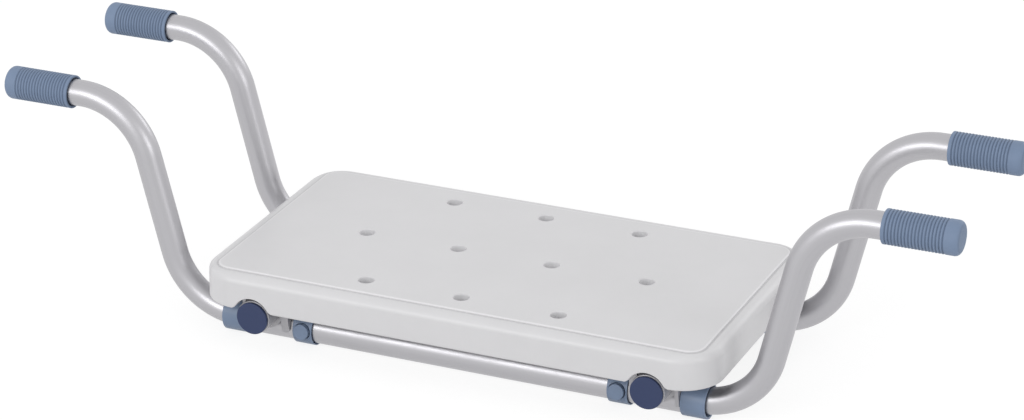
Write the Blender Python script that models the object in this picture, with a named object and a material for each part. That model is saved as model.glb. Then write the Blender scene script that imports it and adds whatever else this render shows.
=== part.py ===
"""Bath seat that hangs between the two rims of a bath.

Two centre tubes carry a moulded seat in four tube clamps. Four cranked arms telescope in the ends of
the centre tubes, and the rubber sleeves on the arms rest on the bath's rims.

Lengths below are in millimetres and add_node turns them into metres. X runs along the seat, the front
faces -Y and Z is up. The origin is on the ground under the middle of the seat.

The four corners are alike, so each corner piece is modelled once, in a corner frame whose X and Y point
outwards from the middle of the seat, and is then mirrored to its four places.
"""
import math

import bmesh
import bpy
from mathutils import Matrix, Vector

MM = 0.001

# Clearances
SEAT_GAP = 0.3            # between two pieces that touch
SLIDE_GAP = 0.3           # radial, arm in centre tube
SIDE_GAP = 0.4            # between the clamp jaw and the cheeks that guide it

# Facets round a circle
TUBE_SIDES = 16
ARM_SIDES = 16
BORE_SIDES = 8            # inside the arms, where nothing shows
GRIP_SIDES = 10
SMALL_SIDES = 10
PIN_SIDES = 6
BOLT_SIDES = 8
DRAIN_SIDES = 12
BEND_STEPS = 5

# Frame tubes
CENTRE_TUBE_DIA = 22.0
CENTRE_TUBE_WALL = 1.2
TUBE_SETBACK = 11.8       # of the tubes' ends, inside the panel's ends
TUBE_INSET = 24.2         # of the tubes' axes, inside the panel's long edges
TUBE_DROP = 45.9          # from the seat's top down to the tubes' axes

# Arms
ARM_TUBE_DIA = 19.0
ARM_TUBE_WALL = 1.5
BEND_LEAD = 2.0           # straight stretch outside the centre tube, arms pushed right in
LOW_BEND_RADIUS = 52.6
HIGH_BEND_RADIUS = 53.5
LEG_ANGLE = 76.0          # degrees from level
LEG_LENGTH = 72.7         # straight stretch between the two bends
REST_LENGTH = 55.6        # straight stretch that lies over the bath's rim
ARM_INSERT = 107.0        # straight stretch inside the centre tube
ARM_TRAVEL = 40.0
STOP_PITCH = 40.0 / 3     # between the holes of the width adjustment

# Rubber sleeves
GRIP_DIA = 23.9
GRIP_LENGTH = 52.5
GRIP_END_WALL = 3.0
GRIP_END_RADIUS = 4.0
RIB_COUNT = 18
RIB_PITCH = 2.3
RIB_DEPTH = 0.7
GRIP_LIP = 1.8

# Collars on the centre tubes
COLLAR_DIA = 25.2
END_COLLAR_LENGTH = 18.0
END_COLLAR_OUTREACH = 9.8    # past the end of the centre tube
MOUTH_GAP = 1.4           # radial, between the arm and the collar's open mouth
COLLAR_CHAMFER = 0.6
BUTTON_COLLAR_LENGTH = 15.0
BUTTON_COLLAR_SPACE = 2.3 # bare tube between the clamp and the button collar

# Push button, lock pin and spring
BUTTON_DIA = 11.4
BUTTON_PROUD = 2.4        # above the collar
BUTTON_TILT = 5.0         # degrees up from level
BUTTON_TRAVEL = 1.8
BUTTON_ROOF = 1.1
BUTTON_EDGE = 0.5
PIN_NECK_DIA = 3.0
PIN_HEAD_DIA = 6.0
PIN_HEAD_HEIGHT = 2.4
SPRING_STRIP = 0.6
SPRING_WIDTH = 4.0
SPRING_LENGTH = 18.0
SPRING_SPREAD = 9.6       # between the ends of its legs

# Tube clamp
CLAMP_AXIS_RISE = 14.0    # of the knob's axis above the tube's axis
CLAMP_WIDTH = 33.0
CHEEK_WIDTH = 2.8
CLAMP_TAIL = 3.0          # of the saddle past its inner cheek, towards the seat's middle
CLAMP_SKIN = 3.0          # hook and lips round the tube
CLAMP_REAR = 16.5         # rear face, behind the tube's axis
REAR_WALL = 8.5
LIP_ANGLE = -12.0         # degrees, where the front lips end
LIP_WALL = 1.0            # thickness of their ends
LIP_KNEE = 7.0            # above the tube's axis, where they start to thin
HOOK_ANGLE = 225.0        # degrees, where the rear hook ends
PLATE_THICKNESS = 3.4
PLATE_REACH = 24.6        # rear edge of the screw plate, behind the tube's axis
SCREW_SPACING = 20.0
SCREW_SETBACK = 20.6      # of the screws, behind the tube's axis
PAD_HEIGHT = 18.4         # of the seat's pads, down from the underside of its panel
JAW_HEEL_DEPTH = 5.8
JAW_HEEL_TOP = 20.0       # above the tube's axis
JAW_BOSS_DIA = 25.0
JAW_RECESS_DIA = 18.4
JAW_RECESS_DEPTH = 5.4
JAW_EDGE = 0.6
JAW_LIP_ANGLE = -5.0      # degrees, where the jaw's bearing ends
JAW_LIP_RADIUS = 15.0     # round edge of the bearing, about the knob's axis
SADDLE_LIP_RADIUS = 24.0  # the same for the saddle's front lips

# Knob, its bolt and the nut
KNOB_DIA = 23.8
KNOB_RIM = 2.4            # thickness of the disc in front of the jaw
KNOB_SETBACK = 0.5        # of the knobs' faces, inside the apron's face
KNOB_EDGE = 0.6
KNOB_HUB_DIA = 17.0
BOLT_DIA = 5.0
HEX_ACROSS = 8.0          # bolt head and nut, across their flats
BOLT_HEAD_HEIGHT = 3.5
NUT_HEIGHT = 4.0

# Screws that hold the clamps to the seat
SCREW_DIA = 3.8
SCREW_HEAD_DIA = 7.2
SCREW_HEAD_HEIGHT = 2.1
SCREW_LENGTH = 14.0

# Seat moulding
PANEL_LENGTH = 373.6
PANEL_WIDTH = 191.2
PANEL_STEP = 0.8          # the panel stands this far above its rim
PANEL_STEP_RUN = 1.0
PANEL_CORNER_RADIUS = 22.0
CORNER_STEPS = 5
SHOULDER_RADIUS = 9.5
SHOULDER_BREAK = 35.0     # degrees, where the shoulder tightens
EDGE_RADIUS = 6.0
EDGE_END = 86.0           # degrees
SEAT_DEPTH = 26.2
WALL_DRAFT = 0.4          # the wall leans out by this much on its way down
FOOT_RADIUS = 3.0
SEAT_WALL = 3.2
DRAIN_DIA = 11.6
DRAIN_CHAMFER = 0.8
DRAIN_PITCH_OUTER = 73.4
DRAIN_PITCH_MIDDLE = 72.6
DRAIN_INSET = 21.7        # of the outer rows, inside the panel's long edges
ARCH_RADIUS = 14.3
ARCH_LIFT = 1.0           # of the arch's centre above the knob's axis
ARCH_FILLET = 6.0
ARCH_STEPS = 8
HOOD_WALL = 3.0
RIB_THICKNESS = 2.0
RIB_DROP = 9.0
CROSS_RIBS = (18.0, 55.0, 91.0)   # on each side of the middle
LONG_RIB_Y = 37.0
PAD_WALL = 2.4
PAD_INSET = 0.5           # from the clamp's sides and rear edge
PAD_SETBACK = 1.6         # behind the jaw's boss
BOSS_DIA = 8.0
SCREW_RUNOUT = 1.0        # of the bores past the screws' tips

# Worked out from the sizes above
TUBE_R = CENTRE_TUBE_DIA / 2
TUBE_BORE_R = TUBE_R - CENTRE_TUBE_WALL
ARM_R = min(ARM_TUBE_DIA / 2, TUBE_BORE_R - SLIDE_GAP)
ARM_BORE_R = ARM_R - ARM_TUBE_WALL
TUBE_Y = PANEL_WIDTH / 2 - TUBE_INSET
TUBE_Z = COLLAR_DIA / 2
SEAT_TOP = TUBE_Z + TUBE_DROP
TUBE_END = PANEL_LENGTH / 2 - TUBE_SETBACK
BEND_START = TUBE_END + BEND_LEAD
COLLAR_START = TUBE_END + END_COLLAR_OUTREACH - END_COLLAR_LENGTH
CLAMP_X = COLLAR_START - SEAT_GAP - CLAMP_WIDTH / 2     # each clamp butts on its end collar
CLAMP_INNER = CLAMP_WIDTH / 2 + CLAMP_TAIL              # from the knob's axis
BUTTON_X = CLAMP_X - CLAMP_INNER - BUTTON_COLLAR_SPACE - BUTTON_COLLAR_LENGTH / 2
SLEEVE_R = TUBE_R + SEAT_GAP            # bore of whatever sits on a centre tube
COLLAR_R = COLLAR_DIA / 2
BUTTON_R = BUTTON_DIA / 2
BUTTON_FACE = COLLAR_R + BUTTON_PROUD
BUTTON_HOLE_R = BUTTON_R + SEAT_GAP
BUTTON_FLOOR = BUTTON_FACE - BUTTON_ROOF      # bottom of the pin's hole in the button
HEAD_R = PIN_HEAD_DIA / 2
NECK_R = PIN_NECK_DIA / 2
BORE_CORNER_R = ARM_BORE_R * math.sqrt(2 * math.pi / (BORE_SIDES * math.sin(2 * math.pi / BORE_SIDES)))
BORE_FLAT = BORE_CORNER_R * math.cos(math.pi / BORE_SIDES)    # the faceted bore's least radius
BOLT_R = BOLT_DIA / 2
BOLT_HOLE_R = (BOLT_R + SEAT_GAP) / math.cos(math.pi / BOLT_SIDES)    # clears the turning bolt's corners
UNDERSIDE_RISE = TUBE_DROP - SEAT_WALL  # underside of the panel above the tubes' axes
PLATE_TOP = UNDERSIDE_RISE - PAD_HEIGHT - SEAT_GAP
PLATE_BOTTOM = PLATE_TOP - PLATE_THICKNESS
BOSS_BACK = TUBE_R + SEAT_GAP + 1.0
HEEL_BACK = BOSS_BACK - JAW_HEEL_DEPTH
SHOULDER_OUT = SHOULDER_RADIUS * math.sin(math.radians(SHOULDER_BREAK))
EDGE_OUT = EDGE_RADIUS * (math.sin(math.radians(EDGE_END)) - math.sin(math.radians(SHOULDER_BREAK)))
APRON_OUT = SHOULDER_OUT + EDGE_OUT + WALL_DRAFT    # outer face of the apron, outside the panel's edge
KNOB_FACE = PANEL_WIDTH / 2 + APRON_OUT - KNOB_SETBACK - TUBE_Y
KNOB_BACK = KNOB_FACE - KNOB_RIM
BOSS_FACE = KNOB_BACK - SEAT_GAP
RECESS_FLOOR = BOSS_FACE - JAW_RECESS_DEPTH
SLOT_HALF = CLAMP_WIDTH / 2 - CHEEK_WIDTH

FINISHES = {
    "white_plastic": ((0.68, 0.68, 0.68), 0.42, 0.0),
    "satin_aluminium": ((0.56, 0.555, 0.585), 0.30, 1.0),
    "blue_rubber": ((0.156, 0.224, 0.345), 0.60, 0.0),
    "blue_plastic": ((0.205, 0.27, 0.385), 0.40, 0.0),
    "navy_plastic": ((0.052, 0.07, 0.158), 0.36, 0.0),
    "silver_plastic": ((0.46, 0.455, 0.475), 0.34, 0.35),
    "steel": ((0.58, 0.58, 0.60), 0.30, 1.0),
}


def finish(name):
    """One Principled material for each finish."""
    if name in bpy.data.materials:
        return bpy.data.materials[name]
    colour, roughness, metallic = FINISHES[name]
    material = bpy.data.materials.new(name)
    material.use_nodes = True
    shader = material.node_tree.nodes["Principled BSDF"]
    shader.inputs["Base Color"].default_value = (*colour, 1.0)
    shader.inputs["Roughness"].default_value = roughness
    shader.inputs["Metallic"].default_value = metallic
    material.diffuse_color = (*colour, 1.0)
    return material


def mesh_from(points, faces, name="shape"):
    """A closed mesh with its faces turned outwards."""
    mesh = bpy.data.meshes.new(name)
    mesh.from_pydata([tuple(p) for p in points], [], faces)
    work = bmesh.new()
    work.from_mesh(mesh)
    bmesh.ops.recalc_face_normals(work, faces=work.faces)
    work.to_mesh(mesh)
    work.free()
    return mesh


def on_axis(axis, along, across, up):
    """Turns (along, across, up) round a body's own axis into X, Y, Z."""
    if axis == "X":
        return (along, across, up)
    if axis == "Y":
        return (up, along, across)
    return (across, up, along)


def turned(profile, sides, axis, centre=(0, 0, 0), ring=False):
    """A profile of (distance along the axis, radius) points, turned round the axis.

    A ring profile is a closed loop; any other begins and ends on the axis.
    """
    points, rows = [], []
    for along, radius in profile:
        if radius == 0:
            rows.append([len(points)] * sides)
            points.append(on_axis(axis, along, 0.0, 0.0))
            continue
        rows.append(list(range(len(points), len(points) + sides)))
        for k in range(sides):
            a = 2 * math.pi * k / sides
            points.append(on_axis(axis, along, radius * math.cos(a), radius * math.sin(a)))
    pairs = list(zip(rows, rows[1:]))
    if ring:
        pairs.append((rows[-1], rows[0]))
    faces = []
    for low, high in pairs:
        for k in range(sides):
            n = (k + 1) % sides
            corner = [low[k], low[n], high[n], high[k]]
            face = [v for i, v in enumerate(corner) if v not in corner[:i]]
            if len(face) > 2:
                faces.append(face)
    points = [Vector(p) + Vector(centre) for p in points]
    return mesh_from(points, faces)


def extruded(outline, low, high, axis):
    """A flat outline, given as (across, up) points, carried from low to high along the axis."""
    count = len(outline)
    points = [on_axis(axis, low, u, v) for u, v in outline]
    points += [on_axis(axis, high, u, v) for u, v in outline]
    faces = [list(range(count)), list(range(count, 2 * count))]
    for k in range(count):
        n = (k + 1) % count
        faces.append([k, n, count + n, count + k])
    return mesh_from(points, faces)


def block(low, high):
    """A box between two corners."""
    outline = [(low[1], low[2]), (high[1], low[2]), (high[1], high[2]), (low[1], high[2])]
    return extruded(outline, low[0], high[0], "X")


def hexagon(across_flats):
    """The six corners of a nut or a bolt head."""
    radius = across_flats / math.sqrt(3)
    return [(radius * math.cos(math.radians(60 * k)), radius * math.sin(math.radians(60 * k)))
            for k in range(6)]


def arc(radius, start, end, steps, centre=(0.0, 0.0)):
    """Points on an arc; angles in degrees."""
    angles = [math.radians(start + (end - start) * k / steps) for k in range(steps + 1)]
    return [(centre[0] + radius * math.cos(a), centre[1] + radius * math.sin(a)) for a in angles]


def moved(mesh, x=0.0, y=0.0, z=0.0):
    """Shifts a mesh and returns it."""
    mesh.transform(Matrix.Translation((x, y, z)))
    return mesh


def combined(base, tools):
    """Cuts from or joins to the base mesh. tools is a list of ("cut" or "join", mesh)."""
    operations = {"cut": "DIFFERENCE", "join": "UNION"}
    holder = bpy.data.objects.new("work_base", base)
    bpy.context.scene.collection.objects.link(holder)
    helpers = []
    for action, mesh in tools:
        helper = bpy.data.objects.new("work_tool", mesh)
        helper.hide_render = True
        helper.display_type = "WIRE"
        bpy.context.scene.collection.objects.link(helper)
        helpers.append(helper)
        modifier = holder.modifiers.new(action, "BOOLEAN")
        modifier.operation = operations[action]
        modifier.solver = "EXACT"
        modifier.object = helper
    bpy.context.view_layer.update()
    graph = bpy.context.evaluated_depsgraph_get()
    result = bpy.data.meshes.new_from_object(holder.evaluated_get(graph))
    for item in [holder, *helpers]:
        bpy.data.objects.remove(item)
    return tidied(result)


def tidied(mesh):
    """Melts the specks and needless edges that a cut leaves."""
    work = bmesh.new()
    work.from_mesh(mesh)
    bmesh.ops.remove_doubles(work, verts=work.verts, dist=0.002)
    bmesh.ops.dissolve_degenerate(work, edges=work.edges, dist=0.002)
    bmesh.ops.dissolve_limit(work, angle_limit=math.radians(0.1), verts=work.verts, edges=work.edges)
    bmesh.ops.triangulate(work, faces=work.faces)
    work.to_mesh(mesh)
    work.free()
    return mesh


def add_node(name, mesh, finish_name, place=(0, 0, 0), mirror=(1, 1), parent=None, sharp=35.0):
    """Adds one named piece: its mesh mirrored to its corner, its origin at place (millimetres)."""
    mesh = mesh.copy()
    mesh.name = name
    mesh.transform(Matrix.Diagonal((mirror[0] * MM, mirror[1] * MM, MM, 1.0)))
    if mirror[0] * mirror[1] < 0:
        mesh.flip_normals()
    mesh.materials.clear()
    mesh.materials.append(finish(finish_name))
    mesh.shade_smooth()
    mesh.set_sharp_from_angle(angle=math.radians(sharp))
    node = bpy.data.objects.new(name, mesh)
    world = Vector((mirror[0] * place[0], mirror[1] * place[1], place[2])) * MM
    if parent:
        node.parent = parent
        world = world - parent.location
    node.location = world
    bpy.context.scene.collection.objects.link(node)
    return node


def centre_tube():
    """A straight tube with a hole for a push button near each end, on its outer side."""
    half = TUBE_END
    wall = [(-half, TUBE_BORE_R), (half, TUBE_BORE_R), (half, TUBE_R), (-half, TUBE_R)]
    tube = turned(wall, TUBE_SIDES, "X", ring=True)
    return combined(tube, [("cut", moved(button_drill(), x=side * BUTTON_X)) for side in (-1, 1)])


def button_drill():
    """The hole that a push button runs in."""
    profile = [(0, 0), (0, BUTTON_HOLE_R), (2 * COLLAR_R, BUTTON_HOLE_R), (2 * COLLAR_R, 0)]
    return tilted(turned(profile, SMALL_SIDES, "Y"))


def tilted(mesh):
    """Turns a mesh up about the tube's axis by the button's tilt."""
    mesh.transform(Matrix.Rotation(math.radians(BUTTON_TILT), 4, "X"))
    return mesh


def arm_path():
    """Centreline of an arm as (x, z, direction in radians); x and z start at the bend's start."""
    turn = math.radians(LEG_ANGLE)
    path = [(-ARM_INSERT, 0.0, 0.0)]
    for k in range(BEND_STEPS + 1):
        a = turn * k / BEND_STEPS
        path.append((LOW_BEND_RADIUS * math.sin(a), LOW_BEND_RADIUS * (1 - math.cos(a)), a))
    x, z, _ = path[-1]
    x += LEG_LENGTH * math.cos(turn)
    z += LEG_LENGTH * math.sin(turn)
    for k in range(BEND_STEPS + 1):
        a = turn * (1 - k / BEND_STEPS)
        path.append((x + HIGH_BEND_RADIUS * (math.sin(turn) - math.sin(a)),
                     z + HIGH_BEND_RADIUS * (math.cos(a) - math.cos(turn)), a))
    return path


def arm_end():
    """Where the rim straight of an arm begins, from the bend's start: x, z."""
    return arm_path()[-1][:2]


def swept_ring(place, radius, sides):
    """One ring of a tube at a point of its path, with a flat towards the button."""
    x, z, a = place
    ring = []
    for k in range(sides):
        t = 2 * math.pi * (k + 0.5) / sides + math.radians(BUTTON_TILT)
        lift = radius * math.sin(t)
        ring.append((x - lift * math.sin(a), radius * math.cos(t), z + lift * math.cos(a)))
    return ring


def keyhole_row():
    """Outline of the stop holes and the slot that joins them, as (x, z)."""
    hole = HEAD_R + SEAT_GAP
    slot = NECK_R + SEAT_GAP
    open_angle = math.degrees(math.asin(slot / hole))
    stops = int(round(ARM_TRAVEL / STOP_PITCH)) + 1
    first = BUTTON_X - BEND_START - (stops - 1) * STOP_PITCH
    upper = []
    for k in range(stops):
        start = 180.0 if k == 0 else 180.0 - open_angle
        end = 0.0 if k == stops - 1 else open_angle
        upper += arc(hole, start, end, 3, (first + k * STOP_PITCH, 0.0))
    lower = [(x, -z) for x, z in reversed(upper[1:-1])]
    return upper + lower


def arm():
    """A cranked tube: straight in the centre tube, up the inside of the bath, level over its rim."""
    path = arm_path()
    x, z = arm_end()
    path.append((x + REST_LENGTH, z, 0.0))
    points, faces, outer, inner = [], [], [], []
    for place in path:
        for rows, radius, sides in ((outer, ARM_R, ARM_SIDES), (inner, BORE_CORNER_R, BORE_SIDES)):
            rows.append(list(range(len(points), len(points) + sides)))
            points += swept_ring(place, radius, sides)
    for rows, sides in ((outer, ARM_SIDES), (inner, BORE_SIDES)):
        for low, high in zip(rows, rows[1:]):
            for k in range(sides):
                n = (k + 1) % sides
                faces.append([low[k], low[n], high[n], high[k]])
    step = ARM_SIDES // BORE_SIDES
    for end in (0, -1):
        for k in range(BORE_SIDES):
            n = (k + 1) % BORE_SIDES
            rim = [outer[end][(step * k + j) % ARM_SIDES] for j in range(step + 1)]
            faces.append(rim + [inner[end][n], inner[end][k]])
    tube = mesh_from(points, faces)
    # the keyholes go through the outer wall only
    reach = ARM_BORE_R / 2
    row = [(z_, x_) for x_, z_ in keyhole_row()]
    cutter = tilted(extruded(row, reach, 2 * ARM_R, "Y"))
    return combined(tube, [("cut", cutter)])


def grip():
    """Ribbed rubber sleeve, open at the arm's side and closed at its end. x is along the arm."""
    crest = GRIP_DIA / 2
    valley = crest - RIB_DEPTH
    bore = (ARM_R + SEAT_GAP) / math.cos(math.pi / GRIP_SIDES)
    start = -GRIP_LENGTH
    depth = -GRIP_END_WALL
    profile = [(depth, 0), (depth, bore), (start, bore), (start, valley)]
    x = start + GRIP_LIP
    profile.append((start, crest - RIB_DEPTH / 2))
    profile.append((x - RIB_PITCH / 4, crest))
    for _ in range(RIB_COUNT):
        profile.append((x + RIB_PITCH / 4, valley))
        profile.append((x + 3 * RIB_PITCH / 4, crest))
        x += RIB_PITCH
    round_end = arc(GRIP_END_RADIUS, 90, 0, 2, (-GRIP_END_RADIUS, crest - GRIP_END_RADIUS))
    profile += round_end
    profile.append((0, 0))
    profile.remove((start, valley))
    sleeve = turned(profile, GRIP_SIDES, "X")
    sleeve.transform(Matrix.Rotation(math.pi / GRIP_SIDES, 4, "X"))    # a corner on top and below
    return sleeve


def end_collar():
    """Bush on the end of a centre tube, with a mouth that clears the start of the arm's bend."""
    outer_end = TUBE_END + END_COLLAR_OUTREACH
    step = TUBE_END + SEAT_GAP
    mouth = ARM_R + MOUTH_GAP
    profile = [
        (COLLAR_START, SLEEVE_R), (step, SLEEVE_R), (step, mouth), (outer_end, mouth),
        (outer_end, COLLAR_R - COLLAR_CHAMFER), (outer_end - COLLAR_CHAMFER, COLLAR_R),
        (COLLAR_START + COLLAR_CHAMFER, COLLAR_R), (COLLAR_START, COLLAR_R - COLLAR_CHAMFER),
    ]
    return turned(profile, TUBE_SIDES, "X", ring=True)


def button_collar():
    """Ring that houses the push button; x is 0 at its middle."""
    half = BUTTON_COLLAR_LENGTH / 2
    profile = [
        (-half, SLEEVE_R), (half, SLEEVE_R), (half, COLLAR_R - COLLAR_CHAMFER),
        (half - COLLAR_CHAMFER, COLLAR_R), (COLLAR_CHAMFER - half, COLLAR_R),
        (-half, COLLAR_R - COLLAR_CHAMFER),
    ]
    ring = turned(profile, TUBE_SIDES, "X", ring=True)
    return combined(ring, [("cut", button_drill())])


def button():
    """Round push button; pressed right in, its hollow underside just clears the arm."""
    profile = [(BUTTON_FACE, 0), (BUTTON_FACE, BUTTON_R - BUTTON_EDGE), (BUTTON_FACE - BUTTON_EDGE, BUTTON_R),
               (ARM_BORE_R, BUTTON_R), (ARM_BORE_R, 0)]
    body = turned(profile, SMALL_SIDES, "Y")
    under = (ARM_R + SEAT_GAP) / math.cos(math.pi / TUBE_SIDES)
    hollow = turned([(-COLLAR_R, 0), (-COLLAR_R, under), (COLLAR_R, under), (COLLAR_R, 0)],
                    TUBE_SIDES, "X", centre=(0, BUTTON_TRAVEL, 0))
    pin_hole = turned([(0, 0), (0, NECK_R + SEAT_GAP), (BUTTON_FLOOR, NECK_R + SEAT_GAP), (BUTTON_FLOOR, 0)],
                      PIN_SIDES, "Y")
    return tilted(combined(body, [("cut", hollow), ("cut", pin_hole)]))


def lock_pin():
    """Pin under the button: a thin neck runs in the arm's slot, a wide head fits its stop holes."""
    top = BORE_FLAT - SEAT_GAP
    profile = [(top - PIN_HEAD_HEIGHT, 0), (top - PIN_HEAD_HEIGHT, HEAD_R), (top, HEAD_R), (top, NECK_R),
               (BUTTON_FLOOR - SEAT_GAP, NECK_R), (BUTTON_FLOOR - SEAT_GAP, 0)]
    return tilted(turned(profile, PIN_SIDES, "Y"))


def button_spring():
    """Bent strip inside the arm that pushes the pin out; its far leg slides along the bore."""
    top = BORE_FLAT - 2 * SEAT_GAP - PIN_HEAD_HEIGHT
    strip = SPRING_STRIP
    bend = SPRING_SPREAD / 4
    turn_x = SPRING_LENGTH - HEAD_R - bend
    middle = top - bend
    outside = arc(bend, 90.0, -90.0, 4, (turn_x, middle))
    inside = arc(bend - strip, -90.0, 90.0, 3, (turn_x, middle))
    foot = top - SPRING_SPREAD
    outline = [(-HEAD_R, top), *outside, (-HEAD_R, foot), (-HEAD_R, foot + strip), *inside,
               (-HEAD_R, top - strip)]
    shape = extruded(outline, -SPRING_WIDTH / 2, SPRING_WIDTH / 2, "Z")
    return tilted(shape)


def clamp_saddle():
    """Fixed half of a tube clamp: screw plate, rear wall with a nut pocket, hook and two front cheeks.

    The outline is in the plane across the tube, (outwards, up) from the tube's axis.
    """
    skin = SLEEVE_R + CLAMP_SKIN
    lip = arc(SLEEVE_R, HOOK_ANGLE, LIP_ANGLE, 12)
    hook = arc(skin, 180.0, HOOK_ANGLE, 3)
    tip = arc(SLEEVE_R + LIP_WALL, LIP_ANGLE, LIP_ANGLE, 1)[:1]
    outline = [*tip, (skin, LIP_KNEE), (skin, PLATE_TOP), (-PLATE_REACH, PLATE_TOP),
               (-PLATE_REACH, PLATE_BOTTOM), (-CLAMP_REAR, PLATE_BOTTOM), (-CLAMP_REAR, CLAMP_SKIN)]
    outline += hook + lip
    body = extruded(outline, -CLAMP_INNER, CLAMP_WIDTH / 2, "X")
    rear = REAR_WALL - CLAMP_REAR
    below = -TUBE_R
    front = skin + CLAMP_SKIN
    rise = CLAMP_AXIS_RISE
    tools = [
        ("cut", block((-SLOT_HALF, rear, below), (SLOT_HALF, front, PLATE_BOTTOM))),
        ("cut", block((-SLOT_HALF, BOSS_BACK - SEAT_GAP, below), (SLOT_HALF, front, PLATE_TOP + 1))),
        ("cut", turned([(-PLATE_REACH, 0), (-PLATE_REACH, BOLT_HOLE_R), (0, BOLT_HOLE_R), (0, 0)],
                       BOLT_SIDES, "Y", centre=(0, 0, rise))),
        ("cut", lip_trim(SADDLE_LIP_RADIUS, SLEEVE_R - CLAMP_SKIN)),
        ("cut", moved(extruded(hex_pocket(), -CLAMP_REAR - 1, nut_seat() + SEAT_GAP, "Y"), z=rise)),
    ]
    for side in (-1, 1):
        drill = turned([(0, 0), (0, SCREW_DIA / 2 + SEAT_GAP), (2 * PLATE_TOP, SCREW_DIA / 2 + SEAT_GAP),
                        (2 * PLATE_TOP, 0)], PIN_SIDES, "Z")
        tools.append(("cut", moved(drill, side * SCREW_SPACING / 2, -SCREW_SETBACK)))
    return combined(body, tools)


def hex_pocket():
    """Outline that holds a nut or a bolt head with the seating gap."""
    return hexagon(HEX_ACROSS + 2 * SEAT_GAP)


def nut_seat():
    """Inner face of the nut, outwards from the tube's axis."""
    return -CLAMP_REAR + SEAT_GAP + NUT_HEIGHT


def clamp_jaw():
    """Moving half of a tube clamp: a heel that bears on the tube and a boss that carries the knob."""
    rise = CLAMP_AXIS_RISE
    boss_r = JAW_BOSS_DIA / 2
    boss = turned([(BOSS_BACK, 0), (BOSS_BACK, boss_r), (BOSS_FACE - JAW_EDGE, boss_r),
                   (BOSS_FACE, boss_r - JAW_EDGE), (BOSS_FACE, 0)], TUBE_SIDES, "Y", centre=(0, 0, rise))
    start = math.degrees(math.acos(HEEL_BACK / SLEEVE_R))
    bearing = arc(SLEEVE_R, JAW_LIP_ANGLE, start, 4)
    overlap = BOSS_BACK + JAW_EDGE
    outline = [(overlap, bearing[0][1]), *bearing, (HEEL_BACK, JAW_HEEL_TOP), (overlap, JAW_HEEL_TOP)]
    half = SLOT_HALF - SIDE_GAP
    heel = extruded(outline, -half, half, "X")
    recess = turned([(RECESS_FLOOR, 0), (RECESS_FLOOR, JAW_RECESS_DIA / 2),
                     (BOSS_FACE + 1, JAW_RECESS_DIA / 2), (BOSS_FACE + 1, 0)],
                    TUBE_SIDES, "Y", centre=(0, 0, rise))
    bore = turned([(0, 0), (0, BOLT_HOLE_R), (RECESS_FLOOR + 1, BOLT_HOLE_R), (RECESS_FLOOR + 1, 0)],
                  BOLT_SIDES, "Y", centre=(0, 0, rise))
    heel = combined(heel, [("cut", lip_trim(JAW_LIP_RADIUS, 0.0))])
    return moved(combined(boss, [("join", heel), ("cut", recess), ("cut", bore)]), z=-rise)


def lip_trim(radius, near):
    """What lies below a circle about the knob's axis, from near outwards."""
    wide = CLAMP_WIDTH
    outline = [(-wide, -wide), (wide, -wide), (wide, 0.0), *arc(radius, 0.0, -180.0, 8), (-wide, 0.0)]
    shape = extruded([(z, x) for x, z in outline], near, SLEEVE_R + 3 * CLAMP_SKIN, "Y")
    return moved(shape, z=CLAMP_AXIS_RISE)


def knob():
    """Smooth round knob with a hub that turns in the jaw's recess and grips the bolt's head."""
    radius = KNOB_DIA / 2
    hub = KNOB_HUB_DIA / 2
    profile = [
        (KNOB_FACE, 0), (KNOB_FACE, radius - KNOB_EDGE), (KNOB_FACE - KNOB_EDGE, radius),
        (KNOB_BACK + KNOB_EDGE / 2, radius), (KNOB_BACK, radius - KNOB_EDGE / 2),
        (KNOB_BACK, hub), (RECESS_FLOOR + SEAT_GAP, hub), (RECESS_FLOOR + SEAT_GAP, 0),
    ]
    body = turned(profile, TUBE_SIDES, "Y")
    head_top = RECESS_FLOOR + 2 * SEAT_GAP + BOLT_HEAD_HEIGHT
    pocket = extruded(hex_pocket(), RECESS_FLOOR - 1, head_top, "Y")
    return combined(body, [("cut", pocket)])


def knob_bolt():
    """Hexagon bolt: its head in the knob, its shank over the tube and into the nut."""
    head_bottom = RECESS_FLOOR + SEAT_GAP
    head = extruded(hexagon(HEX_ACROSS), head_bottom, head_bottom + BOLT_HEAD_HEIGHT, "Y")
    tip = -CLAMP_REAR + SEAT_GAP
    shank = turned([(tip, 0), (tip, BOLT_R), (head_bottom + 1, BOLT_R), (head_bottom + 1, 0)],
                   BOLT_SIDES, "Y")
    return combined(head, [("join", shank)])


def clamp_nut():
    """Hexagon nut in the pocket of the rear wall."""
    body = extruded(hexagon(HEX_ACROSS), -CLAMP_REAR + SEAT_GAP, nut_seat(), "Y")
    bore = turned([(-PLATE_REACH, 0), (-PLATE_REACH, BOLT_HOLE_R), (0, BOLT_HOLE_R), (0, 0)],
                  BOLT_SIDES, "Y")
    return combined(body, [("cut", bore)])


def clamp_screw():
    """Pan-head screw, up through the clamp's plate into the seat. z is 0 under its head's seat."""
    head = SCREW_HEAD_DIA / 2
    shank = SCREW_DIA / 2
    profile = [(-SCREW_HEAD_HEIGHT, 0), (-SCREW_HEAD_HEIGHT, head), (0, head), (0, shank), (SCREW_LENGTH, shank), (SCREW_LENGTH, 0)]
    return turned(profile, PIN_SIDES, "Z")


def rounded_loop(half_x, half_y, radius, z):
    """A rectangle with round corners, as points in one level plane."""
    loop = []
    for quarter, (sx, sy) in enumerate(((1, 1), (-1, 1), (-1, -1), (1, -1))):
        centre = (sx * (half_x - radius), sy * (half_y - radius))
        start = 90.0 * quarter
        loop += [(x, y, z) for x, y in arc(radius, start, start + 90.0, CORNER_STEPS, centre)]
    return loop


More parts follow.
